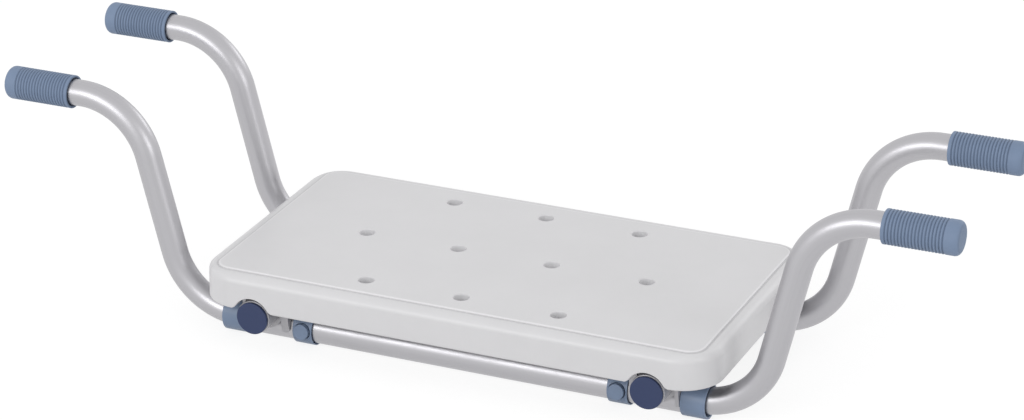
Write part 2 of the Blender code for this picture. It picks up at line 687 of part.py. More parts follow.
def seat_section():
    """Section through the seat's edge, from the panel's edge down and back up inside.

    Each point is (outwards from the panel's edge, up from the seat's top).
    """
    section = [(-PANEL_STEP_RUN, 0.0), (0.0, -PANEL_STEP)]
    bend = math.radians(SHOULDER_BREAK)
    for k in (1, 2, 3):
        a = bend * k / 3
        section.append((SHOULDER_RADIUS * math.sin(a), -PANEL_STEP - SHOULDER_RADIUS * (1 - math.cos(a))))
    out, up = section[-1]
    for k in (1, 2, 3):
        a = bend + (math.radians(EDGE_END) - bend) * k / 3
        section.append((out + EDGE_RADIUS * (math.sin(a) - math.sin(bend)),
                        up - EDGE_RADIUS * (math.cos(bend) - math.cos(a))))
    wall = APRON_OUT
    bottom = -SEAT_DEPTH
    section += [(wall, bottom + FOOT_RADIUS), (wall - FOOT_RADIUS * 0.3, bottom + FOOT_RADIUS * 0.3),
                (wall - FOOT_RADIUS, bottom)]
    inside = wall - SEAT_WALL
    section += [(min(wall - FOOT_RADIUS - 0.2, inside), bottom), (inside - WALL_DRAFT, -SEAT_WALL - EDGE_RADIUS),
                (inside - WALL_DRAFT - EDGE_RADIUS / 2, -SEAT_WALL)]
    return section


def seat_shell():
    """The plain moulding: loops of the section all round, closed by the panel and its underside."""
    points, rows = [], []
    for out, up in seat_section():
        loop = rounded_loop(PANEL_LENGTH / 2 + out, PANEL_WIDTH / 2 + out,
                            PANEL_CORNER_RADIUS + out, SEAT_TOP + up)
        rows.append(list(range(len(points), len(points) + len(loop))))
        points += loop
    faces = [rows[0], rows[-1]]
    for low, high in zip(rows, rows[1:]):
        for k in range(len(low)):
            n = (k + 1) % len(low)
            faces.append([low[k], low[n], high[n], high[k]])
    return mesh_from(points, faces)


def arch_outline():
    """Outline of the opening in the apron round a knob, as (x, z) from the knob's axis.

    A round top runs into the apron's foot through a fillet on each side.
    """
    foot = TUBE_DROP - SEAT_DEPTH - CLAMP_AXIS_RISE
    reach = ARCH_RADIUS + ARCH_FILLET
    rise = foot + ARCH_FILLET - ARCH_LIFT
    across = math.sqrt(reach ** 2 - rise ** 2)
    join = math.degrees(math.atan2(rise, across))
    side = arc(ARCH_FILLET, 270.0, 180.0 + join, 3, (across, foot + ARCH_FILLET))
    top = arc(ARCH_RADIUS, join, 180.0 - join, ARCH_STEPS, (0.0, ARCH_LIFT))
    right = [(across, foot - FOOT_RADIUS)] + side
    left = [(-x, z) for x, z in reversed(right)]
    return right + top[1:-1] + left


def crosswise(outline, near, far, side):
    """An (x, z) outline carried along Y from near to far, both outwards from the middle."""
    low, high = sorted((side * near, side * far))
    return extruded([(z, x) for x, z in outline], low, high, "Y")


def corner_forms(sx, sy):
    """What one corner of the seat has under its panel: joined forms, pocket, screw bosses and cuts."""
    root = SEAT_TOP - SEAT_WALL / 2
    foot = TUBE_Z + PLATE_TOP + SEAT_GAP
    axis_z = TUBE_Z + CLAMP_AXIS_RISE
    half = CLAMP_WIDTH / 2 - PAD_INSET
    x = sx * CLAMP_X
    pad = [(x - half, foot), (x + half, foot), (x + half, root), (x - half, root)]
    inner = half - PAD_WALL
    hollow = [(x - inner, foot - 1), (x + inner, foot - 1), (x + inner, SEAT_TOP - SEAT_WALL),
              (x - inner, SEAT_TOP - SEAT_WALL)]
    near = TUBE_Y - PLATE_REACH + PAD_INSET
    far = TUBE_Y + BOSS_BACK - PAD_SETBACK
    hood_near = TUBE_Y + SLEEVE_R + CLAMP_SKIN + SEAT_GAP
    apron_middle = PANEL_WIDTH / 2 + APRON_OUT - SEAT_WALL / 2
    radius = ARCH_RADIUS + HOOD_WALL
    start = math.degrees(math.asin((TUBE_DROP - SEAT_DEPTH - CLAMP_AXIS_RISE - ARCH_LIFT) / radius))
    dome = arc(radius, start, 180.0 - start, ARCH_STEPS, (x, axis_z + ARCH_LIFT))
    half_rib = RIB_THICKNESS / 2
    crown = axis_z + ARCH_LIFT + ARCH_RADIUS + HOOD_WALL / 2
    knee = SEAT_TOP - SEAT_WALL - EDGE_RADIUS / 2
    web = [(sy * hood_near, crown), (sy * apron_middle, crown), (sy * apron_middle, knee),
           (sy * PANEL_WIDTH / 2, root), (sy * hood_near, root)]
    opening = [(x + across, axis_z + up) for across, up in arch_outline()]
    joins = [crosswise(pad, near, far, sy), crosswise(dome, hood_near, apron_middle, sy),
             extruded(web, x - half_rib, x + half_rib, "X")]
    pocket = crosswise(hollow, near + PAD_WALL, far - PAD_WALL, sy)
    cuts = [crosswise(opening, hood_near - 1, apron_middle + SEAT_WALL, sy)]
    bosses = []
    bore_r = SCREW_DIA / 2 + SEAT_GAP
    top = foot + SCREW_LENGTH - PLATE_THICKNESS + SCREW_RUNOUT
    for side in (-1, 1):
        centre = (x + side * SCREW_SPACING / 2, sy * (TUBE_Y - SCREW_SETBACK), 0)
        bosses.append(turned([(foot, 0), (foot, BOSS_DIA / 2), (root, BOSS_DIA / 2), (root, 0)],
                             SMALL_SIDES, "Z", centre=centre))
        cuts.append(turned([(foot - 1, 0), (foot - 1, bore_r), (top, bore_r), (top, 0)],
                           PIN_SIDES, "Z", centre=centre))
    return joins, pocket, bosses, cuts


def rib_outline(half):
    """A rib across the underside, as (across, z): it runs into the apron below the shoulder."""
    end = half + APRON_OUT - SEAT_WALL / 2
    knee = SEAT_TOP - SEAT_WALL - EDGE_RADIUS / 2
    low = SEAT_TOP - SEAT_WALL - RIB_DROP
    root = SEAT_TOP - SEAT_WALL / 2
    return [(-end, low), (end, low), (end, knee), (half, root), (-half, root), (-end, knee)]


def seat_tools():
    """Everything that is joined to or cut from the plain moulding, in order."""
    half_rib = RIB_THICKNESS / 2
    joins = []
    for place in CROSS_RIBS:
        for x in (-place, place):
            joins.append(extruded(rib_outline(PANEL_WIDTH / 2), x - half_rib, x + half_rib, "X"))
    along = [(z, x) for x, z in rib_outline(PANEL_LENGTH / 2)]
    for y in (-LONG_RIB_Y, LONG_RIB_Y):
        joins.append(extruded(along, y - half_rib, y + half_rib, "Y"))
    pockets, bosses, cuts = [], [], []
    for sx in (-1, 1):
        for sy in (-1, 1):
            corner_joins, pocket, corner_bosses, corner_cuts = corner_forms(sx, sy)
            joins += corner_joins
            pockets.append(pocket)
            bosses += corner_bosses
            cuts += corner_cuts
    cuts += [drain_cutter(x, y) for x, y in drain_places()]
    order = [("join", shape) for shape in joins] + [("cut", shape) for shape in pockets]
    return order + [("join", shape) for shape in bosses] + [("cut", shape) for shape in cuts]


def drain_places():
    """Drain holes in three rows: three, four and three."""
    for row in (-1, 1):
        for k in (-1, 0, 1):
            yield k * DRAIN_PITCH_OUTER, row * (PANEL_WIDTH / 2 - DRAIN_INSET)
    for k in (-1.5, -0.5, 0.5, 1.5):
        yield k * DRAIN_PITCH_MIDDLE, 0.0


def drain_cutter(x, y):
    """A drain hole with a chamfered rim."""
    radius = DRAIN_DIA / 2
    top = SEAT_TOP + 1
    profile = [(SEAT_TOP - 2 * SEAT_WALL, 0), (SEAT_TOP - 2 * SEAT_WALL, radius),
               (SEAT_TOP - DRAIN_CHAMFER, radius), (top, radius + DRAIN_CHAMFER + 1), (top, 0)]
    return turned(profile, DRAIN_SIDES, "Z", centre=(x, y, 0))


def build():
    """Clears the scene and adds every piece."""
    for item in list(bpy.data.objects):
        bpy.data.objects.remove(item)
    add_node("seat_board", combined(seat_shell(), seat_tools()), "white_plastic")
    tube = centre_tube()
    for name, sy in (("front", -1), ("rear", 1)):
        add_node(f"{name}_centre_tube", tube, "satin_aluminium", (0, TUBE_Y, TUBE_Z), (1, sy))
    reach, rise = arm_end()
    tip = BEND_START + reach + REST_LENGTH + SEAT_GAP + GRIP_END_WALL
    clamp_z = TUBE_Z + CLAMP_AXIS_RISE
    shapes = {
        "arm": arm(), "grip": grip(), "end_collar": end_collar(), "button_collar": button_collar(),
        "button": button(), "lock_pin": lock_pin(), "button_spring": button_spring(),
        "clamp_saddle": clamp_saddle(), "clamp_jaw": clamp_jaw(), "knob": knob(),
        "knob_bolt": knob_bolt(), "clamp_nut": clamp_nut(), "clamp_screw": clamp_screw(),
    }
    for corner, mirror in (("front_left", (-1, -1)), ("front_right", (1, -1)),
                           ("rear_left", (-1, 1)), ("rear_right", (1, 1))):
        def add(piece, finish_name, place, parent=None, suffix=""):
            return add_node(f"{corner}_{piece}{suffix}", shapes[piece], finish_name, place, mirror, parent)
        arm_node = add("arm", "satin_aluminium", (BEND_START, TUBE_Y, TUBE_Z))
        add("grip", "blue_rubber", (tip, TUBE_Y, TUBE_Z + rise), arm_node)
        add("end_collar", "blue_plastic", (0, TUBE_Y, TUBE_Z))
        add("button_collar", "blue_plastic", (BUTTON_X, TUBE_Y, TUBE_Z))
        button_node = add("button", "blue_plastic", (BUTTON_X, TUBE_Y, TUBE_Z))
        add("lock_pin", "steel", (BUTTON_X, TUBE_Y, TUBE_Z), button_node)
        add("button_spring", "steel", (BUTTON_X, TUBE_Y, TUBE_Z), button_node)
        add("clamp_saddle", "silver_plastic", (CLAMP_X, TUBE_Y, TUBE_Z))
        jaw_node = add("clamp_jaw", "silver_plastic", (CLAMP_X, TUBE_Y, clamp_z))
        knob_node = add("knob", "navy_plastic", (CLAMP_X, TUBE_Y, clamp_z), jaw_node)
        bolt = add_node(f"{corner}_knob_bolt", shapes["knob_bolt"], "steel",
                        (CLAMP_X, TUBE_Y, clamp_z), mirror)
        bolt.parent = knob_node
        bolt.location = (0, 0, 0)
        add("clamp_nut", "steel", (CLAMP_X, TUBE_Y, clamp_z))
        for side, offset in (("inner", -1), ("outer", 1)):
            add("clamp_screw", "steel", (CLAMP_X + offset * SCREW_SPACING / 2, TUBE_Y - SCREW_SETBACK,
                                         TUBE_Z + PLATE_BOTTOM - SEAT_GAP), suffix=f"_{side}")


build()
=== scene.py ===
"""Looks of a bath seat that hangs between the two rims of a bath.

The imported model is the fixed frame. Every visible piece is a finer surface that stands in the place of
its solid and rides on the same body. Shapes are worked out with numpy in metres; the four corners are
alike, so a corner piece is made once, with X and Y outwards, and mirrored to its four places.
"""

import math
from types import SimpleNamespace

import bmesh
import bpy
import numpy as np
from bpy.props import FloatProperty, FloatVectorProperty, IntProperty, PointerProperty
from mathutils import Matrix, Vector


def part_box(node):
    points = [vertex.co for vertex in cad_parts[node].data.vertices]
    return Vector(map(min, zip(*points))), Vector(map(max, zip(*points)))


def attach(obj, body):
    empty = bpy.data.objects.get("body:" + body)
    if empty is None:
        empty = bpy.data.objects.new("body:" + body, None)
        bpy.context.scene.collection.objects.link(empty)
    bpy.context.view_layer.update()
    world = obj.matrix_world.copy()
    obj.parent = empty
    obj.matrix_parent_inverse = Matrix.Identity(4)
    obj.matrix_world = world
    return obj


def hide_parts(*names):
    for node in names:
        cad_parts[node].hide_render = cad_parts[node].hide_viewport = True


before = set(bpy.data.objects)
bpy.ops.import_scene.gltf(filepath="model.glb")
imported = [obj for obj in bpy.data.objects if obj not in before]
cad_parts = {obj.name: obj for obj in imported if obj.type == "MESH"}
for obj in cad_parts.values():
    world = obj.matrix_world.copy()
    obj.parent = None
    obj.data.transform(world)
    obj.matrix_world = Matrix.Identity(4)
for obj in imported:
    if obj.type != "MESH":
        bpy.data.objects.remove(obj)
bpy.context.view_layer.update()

bl_info = {
    "name": "Bath seat",
    "version": (1, 0, 0),
    "blender": (4, 5, 0),
    "location": "3D View > Sidebar > Bath seat",
    "description": "Builds the visible pieces of a bath seat on its packed frame",
    "category": "Object",
}

MM = 0.001
CORNERS = {"front_left": (-1, -1), "front_right": (1, -1), "rear_left": (-1, 1), "rear_right": (1, 1)}
SIDES = (-1, 1)
PAST = 1.0 * MM   # how far a cutter reaches past the surface that it cuts


# Properties: what a user would change

def size(name, description, millimetres):
    """A length property, given in millimetres and kept in metres."""
    return FloatProperty(name=name, description=description, default=millimetres * MM, min=0.0,
                         unit="LENGTH", subtype="DISTANCE", precision=5)


def angle(name, description, degrees):
    """An angle property, given in degrees and kept in radians."""
    return FloatProperty(name=name, description=description, default=math.radians(degrees),
                         unit="ROTATION", subtype="ANGLE")


def colour(name, description, value):
    """A colour property."""
    return FloatVectorProperty(name=name, description=description, default=value, size=3, min=0.0,
                               max=1.0, subtype="COLOR")


class BoardSizes(bpy.types.PropertyGroup):
    """Sizes of the seat board."""
    panel_length: size("Panel length", "Raised panel, along the seat", 373.6)
    panel_width: size("Panel width", "Raised panel, across the seat", 191.2)
    panel_corner: size("Panel corner", "Radius of the corners, at the panel's edge", 22.0)
    line_corner: size("Line corner", "Radius of the corners of the line round the panel", 12.0)
    line_inset: size("Line inset", "How far the line lies inside the panel's edge", 1.4)
    step: size("Step", "Height of the panel over the shoulder", 0.8)
    step_run: size("Step run", "Width of the panel's sloping edge", 1.0)
    groove: size("Groove", "Depth of the line round the panel", 0.4)
    shoulder_radius: size("Shoulder radius", "Wide curve next to the panel", 9.5)
    shoulder_break: angle("Shoulder break", "Slope at which the shoulder tightens", 35.0)
    edge_radius: size("Edge radius", "Tighter curve down to the apron", 6.0)
    edge_end: angle("Edge end", "Slope at which the apron starts", 86.0)
    depth: size("Depth", "From the panel's top to the apron's foot", 26.2)
    draft: size("Draft", "How far the apron leans out", 0.4)
    foot_radius: size("Foot radius", "Round foot of the apron", 1.2)
    wall: size("Wall", "Thickness of the moulding", 3.2)
    drain: size("Drain diameter", "Width of a drain hole", 11.2)
    drain_round: size("Drain rounding", "Radius of the rim of a drain hole", 1.2)
    drain_depth: size("Drain depth", "From the panel's top to the end of a drain's wall", 7.2)
    drain_wall: size("Drain wall", "Thickness of the wall round a drain", 1.8)
    drain_pitch_outer: size("Outer drain pitch", "Between the holes of the outer rows", 73.4)
    drain_pitch_middle: size("Middle drain pitch", "Between the holes of the middle row", 72.6)
    drain_inset: size("Drain inset", "Outer rows, inside the panel's long edges", 21.7)
    arch_radius: size("Arch radius", "Opening round a knob", 14.3)
    arch_lift: size("Arch lift", "Arch's centre above the knob's axis", 1.0)
    arch_fillet: size("Arch fillet", "Where the arch runs into the foot", 6.0)
    arch_round: size("Arch rounding", "Radius of the arch's outer edge", 0.7)
    hood: size("Hood wall", "Wall behind an arch", 3.0)
    rib: size("Rib thickness", "Ribs on the underside", 2.0)
    rib_drop: size("Rib drop", "Depth of the ribs under the panel", 9.0)
    rib_inner: size("Inner rib", "Distance of the inner cross ribs from the middle", 18.0)
    rib_middle: size("Middle rib", "Distance of the next cross ribs from the middle", 55.0)
    rib_outer: size("Outer rib", "Distance of the outer cross ribs from the middle", 91.0)
    rib_long: size("Long rib", "Distance of the two long ribs from the middle", 37.0)
    pad_wall: size("Pad wall", "Walls of the boxes that the clamps bear on", 2.4)
    boss: size("Screw boss", "Diameter of a screw boss", 8.0)


class TubeSizes(bpy.types.PropertyGroup):
    """Sizes of the tubes, the collars and the sleeves."""
    tube: size("Centre tube", "Outside diameter of a centre tube", 22.0)
    tube_wall: size("Centre tube wall", "Wall of a centre tube", 1.2)
    arm: size("Arm tube", "Outside diameter of an arm", 19.0)
    arm_wall: size("Arm wall", "Wall of an arm", 1.5)
    arm_insert: size("Arm insert", "Straight end inside the centre tube", 107.0)
    low_bend: size("Low bend", "Radius of the bend at the centre tube", 52.6)
    high_bend: size("High bend", "Radius of the bend at the bath's rim", 53.5)
    leg_angle: angle("Leg angle", "Slope of an arm between its bends", 76.0)
    leg: size("Leg", "Straight length between the bends", 72.7)
    rest: size("Rest", "Straight length over the bath's rim", 55.6)
    sleeve: size("Sleeve", "Outside diameter of a sleeve", 23.9)
    sleeve_length: size("Sleeve length", "Length of a sleeve", 52.5)
    sleeve_end: size("Sleeve end", "Radius of a sleeve's closed end", 4.0)
    rib_count: IntProperty(name="Sleeve ribs", description="Number of ribs on a sleeve", default=18, min=1)
    rib_pitch: size("Rib pitch", "Between two ribs of a sleeve", 2.3)
    rib_depth: size("Rib depth", "Depth of the grooves between the ribs", 0.7)
    sleeve_lip: size("Sleeve lip", "Plain lip at a sleeve's mouth", 1.8)
    collar: size("Collar", "Outside diameter of the collars", 25.2)
    collar_edge: size("Collar edge", "Rounding of the collars' edges", 0.5)
    mouth_gap: size("Mouth gap", "Between an arm and its end collar", 1.4)
    button: size("Button", "Diameter of a push button", 11.4)
    button_proud: size("Button height", "How far a button stands out", 2.4)
    button_tilt: angle("Button tilt", "Buttons face up by this much", 5.0)
    button_travel: size("Button travel", "How far a button goes in", 1.8)
    seat_gap: size("Gap", "Between two pieces that touch", 0.3)


class ClampSizes(bpy.types.PropertyGroup):
    """Sizes of the tube clamps, the knobs and the fasteners."""
    rise: size("Axis rise", "Knob's axis above the tube's axis", 14.0)
    width: size("Clamp width", "Along the tube", 33.0)
    cheek: size("Cheek", "Thickness of the front cheeks", 2.8)
    tail: size("Tail", "How far a saddle goes on past its inner cheek", 3.0)
    skin: size("Skin", "Thickness round the tube", 3.0)
    lip_end: angle("Lip end", "How far the front lips go down below the tube's axis", 12.0)
    lip_wall: size("Lip wall", "Thickness of the lips' ends", 1.0)
    lip_knee: size("Lip knee", "Where the lips start to thin, above the tube's axis", 7.0)
    rear: size("Rear", "Rear face behind the tube's axis", 16.5)
    rear_wall: size("Rear wall", "Thickness of the wall that holds the nut", 8.5)
    plate_top: size("Plate top", "Top of the screw plate over the tube's axis", 24.0)
    plate: size("Plate", "Thickness of the screw plate", 3.4)
    plate_reach: size("Plate reach", "Rear edge of the screw plate", 24.6)
    screw_spacing: size("Screw spacing", "Between the two screws", 20.0)
    screw_setback: size("Screw setback", "Screws, behind the tube's axis", 20.6)
    heel_depth: size("Heel depth", "Depth of the jaw's bearing", 5.8)
    heel_top: size("Heel top", "Top of the jaw's bearing", 20.0)
    boss: size("Jaw boss", "Diameter of the boss behind a knob", 25.0)
    recess: size("Jaw recess", "Diameter of the recess for a knob's hub", 18.4)
    recess_depth: size("Recess depth", "Depth of that recess", 5.4)
    jaw_lip: size("Jaw lip", "Round edge of the jaw's bearing", 15.0)
    saddle_lip: size("Saddle lip", "Round edge of the saddle's front lips", 24.0)
    knob: size("Knob", "Diameter of a knob", 23.8)
    knob_rim: size("Knob rim", "Thickness of a knob's disc", 2.4)
    knob_edge: size("Knob edge", "Rounding of a knob's edge", 0.6)
    hub: size("Hub", "Diameter of a knob's hub", 17.0)
    bolt: size("Bolt", "Diameter of a knob's bolt", 5.0)
    pitch: size("Thread pitch", "Of the knobs' bolts", 0.8)
    hexagon: size("Hexagon", "Bolt head and nut, across their flats", 8.0)
    bolt_head: size("Bolt head", "Height of a bolt's head", 3.5)
    nut: size("Nut", "Height of a nut", 4.0)
    screw: size("Screw", "Diameter of a screw", 3.8)
    screw_head: size("Screw head", "Diameter of a screw's head", 7.2)
    screw_head_height: size("Screw head height", "Height of a screw's head", 2.1)
    screw_length: size("Screw length", "Length under a screw's head", 14.0)


class FinishColours(bpy.types.PropertyGroup):
    """Colours of the finishes."""
    white: colour("White moulding", "Seat board", (0.675, 0.671, 0.684))
    aluminium: colour("Anodised aluminium", "Tubes and arms", (0.46, 0.455, 0.475))
    rubber: colour("Slate rubber", "Sleeves", (0.185, 0.248, 0.365))
    collar: colour("Grey blue moulding", "Collars and push buttons", (0.197, 0.262, 0.382))
    knob: colour("Navy moulding", "Knobs", (0.036, 0.052, 0.122))
    clamp: colour("Silver moulding", "Clamps", (0.46, 0.455, 0.475))
    steel: colour("Zinc plate", "Bolts, nuts and screws", (0.58, 0.58, 0.60))
    floor: colour("Floor", "Studio floor", (0.74, 0.74, 0.74))


# Outlines and surfaces

def arc(radius, start, end, steps, centre=(0.0, 0.0)):
    """Points on a circle: centre plus radius times (cos, sin) of evenly spaced angles, in degrees."""
    a = np.radians(np.linspace(start, end, steps + 1))
    return np.stack([centre[0] + radius * np.cos(a), centre[1] + radius * np.sin(a)], 1)


def joined_points(*parts):
    """Several runs of points as one."""
    return np.concatenate([np.atleast_2d(np.asarray(part, float)) for part in parts])


def softened(outline, radius, steps=4, closed=True, smooth=20.0):
    """Rounds an outline's corners.

    A corner P between A and B, both a reach away on its sides, becomes the curve
    (1-t)^2 A + 2t(1-t) P + t^2 B. A bend of less than smooth degrees stays as it is.
    """
    p = np.asarray(outline, float)
    back, ahead = np.roll(p, 1, 0) - p, np.roll(p, -1, 0) - p
    back_length = np.linalg.norm(back, axis=1)
    ahead_length = np.linalg.norm(ahead, axis=1)
    back = back / back_length[:, None]
    ahead = ahead / ahead_length[:, None]
    turn = np.arccos(np.clip(-(back * ahead).sum(1), -1.0, 1.0))
    reach = np.minimum(radius * np.tan(turn / 2), 0.45 * np.minimum(back_length, ahead_length))
    reach[turn < math.radians(smooth)] = 0.0
    if not closed:
        reach[[0, -1]] = 0.0
    t = np.linspace(0.0, 1.0, steps + 1)[None, :, None]
    start = (p + back * reach[:, None])[:, None]
    end = (p + ahead * reach[:, None])[:, None]
    curve = (1 - t) ** 2 * start + 2 * t * (1 - t) * p[:, None] + t ** 2 * end
    keep = np.ones(curve.shape[:2], bool)
    keep[reach == 0.0, 1:] = False
    return curve[keep]


def corner_normals(outline):
    """Outward offset of each corner of a closed outline for a distance of 1, halving the corner."""
    p = np.asarray(outline, float)
    ahead = np.roll(p, -1, 0) - p
    ahead /= np.linalg.norm(ahead, axis=1)[:, None]
    normal = np.stack([ahead[:, 1], -ahead[:, 0]], 1)
    before = np.roll(normal, 1, 0)
    area = (p[:, 0] * np.roll(p[:, 1], -1) - np.roll(p[:, 0], -1) * p[:, 1]).sum()
    spread = (before + normal) / (1.0 + (before * normal).sum(1))[:, None]
    return spread if area > 0 else -spread


def to_axis(axis, along, across, up):
    """Points from their distance along an axis and their two coordinates round it."""
    order = {"X": (along, across, up), "Y": (up, along, across), "Z": (across, up, along)}[axis]
    return np.stack(np.broadcast_arrays(*order), -1)


def skin(points, caps=False):
    """A closed mesh over a grid of points, rows by columns.

    The last column meets the first. Equal points merge, so a row that is one point is a pole, and a last
    row that repeats the first closes a ring. With caps, the end rows get a face each. UV is the distance
    (along the rows, round the columns) in metres.
    """
    rows, cols = points.shape[:2]
    index = np.arange(rows * cols).reshape(rows, cols)
    after = np.roll(index, -1, 1)
    quads = np.stack([index[:-1], after[:-1], after[1:], index[1:]], -1).reshape(-1, 4)
    faces = quads.tolist()
    if caps:
        faces += [index[0, ::-1].tolist(), index[-1].tolist()]
    mesh = bpy.data.meshes.new("surface")
    mesh.from_pydata(points.reshape(-1, 3).tolist(), [], faces)
    run = np.linalg.norm(np.diff(points, axis=0), axis=2).mean(1)
    u = np.concatenate([[0.0], np.cumsum(run)])
    round_length = np.linalg.norm(np.roll(points, -1, 1) - points, axis=2).sum(1).max()
    v = np.linspace(0.0, round_length, cols + 1)
    u0, v0 = np.meshgrid(u[:-1], v[:-1], indexing="ij")
    u1, v1 = np.meshgrid(u[1:], v[1:], indexing="ij")
    uv = np.stack([u0, v0, u0, v1, u1, v1, u1, v0], -1).reshape(-1, 2)
    if caps:
        ends = np.concatenate([np.stack([np.full(cols, u[0]), v[:-1]], 1)[::-1],
                               np.stack([np.full(cols, u[-1]), v[:-1]], 1)])
        uv = np.concatenate([uv, ends])
    mesh.uv_layers.new(name="UVMap").data.foreach_set("uv", uv.astype(np.float32).ravel())
    return tidied(mesh)


def tidied(mesh, distance=0.002 * MM):
    """Merges equal points, melts faces of no area and turns all faces outwards."""
    work = bmesh.new()
    work.from_mesh(mesh)
    bmesh.ops.remove_doubles(work, verts=work.verts, dist=distance)
    bmesh.ops.dissolve_degenerate(work, edges=work.edges, dist=distance)
    bmesh.ops.recalc_face_normals(work, faces=work.faces)
    work.to_mesh(mesh)
    work.free()
    return mesh


def turned(profile, sides, axis, centre=(0.0, 0.0, 0.0)):
    """A profile of (distance along the axis, radius) turned round the axis: radius times (cos, sin)."""
    profile = np.asarray(profile, float)
    t = 2 * np.pi * np.arange(sides) / sides
    along, radius = profile[:, :1], profile[:, 1:]
    points = to_axis(axis, along, radius * np.cos(t), radius * np.sin(t))
    return skin(points + np.asarray(centre))


def ring(profile, sides, axis, centre=(0.0, 0.0, 0.0)):
    """A closed profile turned round an axis that it doesn't reach."""
    return turned(joined_points(profile, profile[:1]), sides, axis, centre)


def carried(outline, along, grow, axis, centre):
    """A solid through copies of an outline along an axis, each grown outwards by its own amount."""
    outline = np.asarray(outline, float)
    flat = outline[None] + corner_normals(outline)[None] * grow[:, None, None]
    points = to_axis(axis, along[:, None], flat[..., 0], flat[..., 1])
    return skin(points + np.asarray(centre), caps=True)


def prism(outline, low, high, axis, edge=0.0, steps=3, centre=(0.0, 0.0, 0.0)):
    """An outline carried along an axis from low to high.

    Towards each end it draws in on a quarter circle: edge(1 - cos t) inwards at edge(1 - sin t) from the end.
    The edge is at most half the radius that softened gave the outline, or the drawn-in loops cross.
    """
    t = np.linspace(0.0, np.pi / 2, steps + 1) if edge else np.zeros(1)
    draw, back = edge * (1 - np.cos(t)), edge * (1 - np.sin(t))
    along = np.concatenate([low + back[::-1], high - back])
    return carried(outline, along, -np.concatenate([draw[::-1], draw]), axis, centre)


def flared(outline, low, high, face, radius, axis, centre=(0.0, 0.0, 0.0), steps=5):
    """A cutter that leaves a round edge where it comes out of a flat face.

    Its outline grows by radius(1 - cos t) at radius sin t past the start of the rounding, and on past
    the face. The face lies between low and high, on the side of high.
    """
    way = math.copysign(1.0, high - low)
    t = np.linspace(0.0, np.pi / 2, steps + 1)
    grow = np.concatenate([[0.0], radius * (1 - np.cos(t)), [radius]])
    along = np.concatenate([[low], face + way * radius * (np.sin(t) - 1.0), [high]])
    return carried(outline, along, grow, axis, centre)


def circle(radius, sides):
    """A closed circle."""
    return arc(radius, 0.0, 360.0, sides)[:-1]


def hexagon(across_flats):
    """Six corners, across_flats / sqrt 3 from the middle."""
    return arc(across_flats / math.sqrt(3), 0.0, 360.0, 6)[:-1]


def rectangle(low_x, high_x, low_y, high_y):
    """Four corners between two values each way."""
    return [(low_x, low_y), (high_x, low_y), (high_x, high_y), (low_x, high_y)]


def gathered(meshes):
    """Several separate meshes as one."""
    work = bmesh.new()
    for mesh in meshes:
        work.from_mesh(mesh)
    result = bpy.data.meshes.new("gathered")
    work.to_mesh(result)
    work.free()
    return result


def combined(base, tools):
    """The base mesh with others cut from it, joined to it or kept only where both are.

    tools is a list of ("cut", "join" or "share", mesh).
    """
    operations = {"cut": "DIFFERENCE", "join": "UNION", "share": "INTERSECT"}
    holder = bpy.data.objects.new("work_base", base)
    bpy.context.scene.collection.objects.link(holder)
    helpers = []
    for action, mesh in tools:
        helper = bpy.data.objects.new("work_tool", mesh)
        bpy.context.scene.collection.objects.link(helper)
        helpers.append(helper)
        modifier = holder.modifiers.new(action, "BOOLEAN")
        modifier.operation = operations[action]
        modifier.solver = "EXACT"
        modifier.object = helper
    bpy.context.view_layer.update()
    graph = bpy.context.evaluated_depsgraph_get()
    result = bpy.data.meshes.new_from_object(holder.evaluated_get(graph))
    for item in [holder, *helpers]:
        bpy.data.objects.remove(item)
    if not result.polygons:
        raise RuntimeError("A cut or a join left nothing")
    return tidied(result)


def moved(mesh, x=0.0, y=0.0, z=0.0):
    """Shifts a mesh and returns it."""
    mesh.transform(Matrix.Translation((x, y, z)))
    return mesh


def tilted(mesh, turn):
    """Turns a mesh about the X axis, so that its outer side looks up, and returns it."""
    mesh.transform(Matrix.Rotation(turn, 4, "X"))
    return mesh


def mirrored(mesh, sx, sy):
    """A copy of a corner piece in one of the four corners, with its faces outwards."""
    copy = mesh.copy()
    copy.transform(Matrix.Diagonal((sx, sy, 1.0, 1.0)))
    if sx * sy < 0:
        copy.flip_normals()
    return copy


def coordinates(mesh):
    """A mesh's points, one row each."""
    points = np.empty(len(mesh.vertices) * 3, np.float32)
    mesh.vertices.foreach_get("co", points)
    return points.reshape(-1, 3)


def mark_points(mesh, name, value):
    """Writes a value for each point as an attribute."""
    mesh.attributes.new(name, "FLOAT", "POINT").data.foreach_set("value", value.astype(np.float32))


def finished(name, mesh, look, body, nodes, sharp=32.0):
    """Puts a finished piece in the scene, smooth but for its sharp edges, on its body."""
    mesh.name = name
    mesh.materials.clear()
    mesh.materials.append(finish(look))
    mesh.shade_smooth()
    mesh.set_sharp_from_angle(angle=math.radians(sharp))
    piece = bpy.data.objects.new(name, mesh)
    bpy.context.scene.collection.objects.link(piece)
    normals = piece.modifiers.new("Weighted normals", "WEIGHTED_NORMAL")
    normals.keep_sharp = True
    normals.weight = 50
    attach(piece, body)
    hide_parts(*nodes)


def four(name, mesh, look, body, node):
    """Puts a corner piece in all four corners. name, body and node have a place for the corner's name."""
    for corner, (sx, sy) in CORNERS.items():
        finished(name.format(corner), mirrored(mesh, sx, sy), look, body.format(corner),
                 [node.format(corner)])


def given():
    """The sizes of the board, the tubes and the clamps, and where the frame has its pieces."""
    scene = bpy.context.scene
    return scene.bath_board, scene.bath_tubes, scene.bath_clamps, layout()


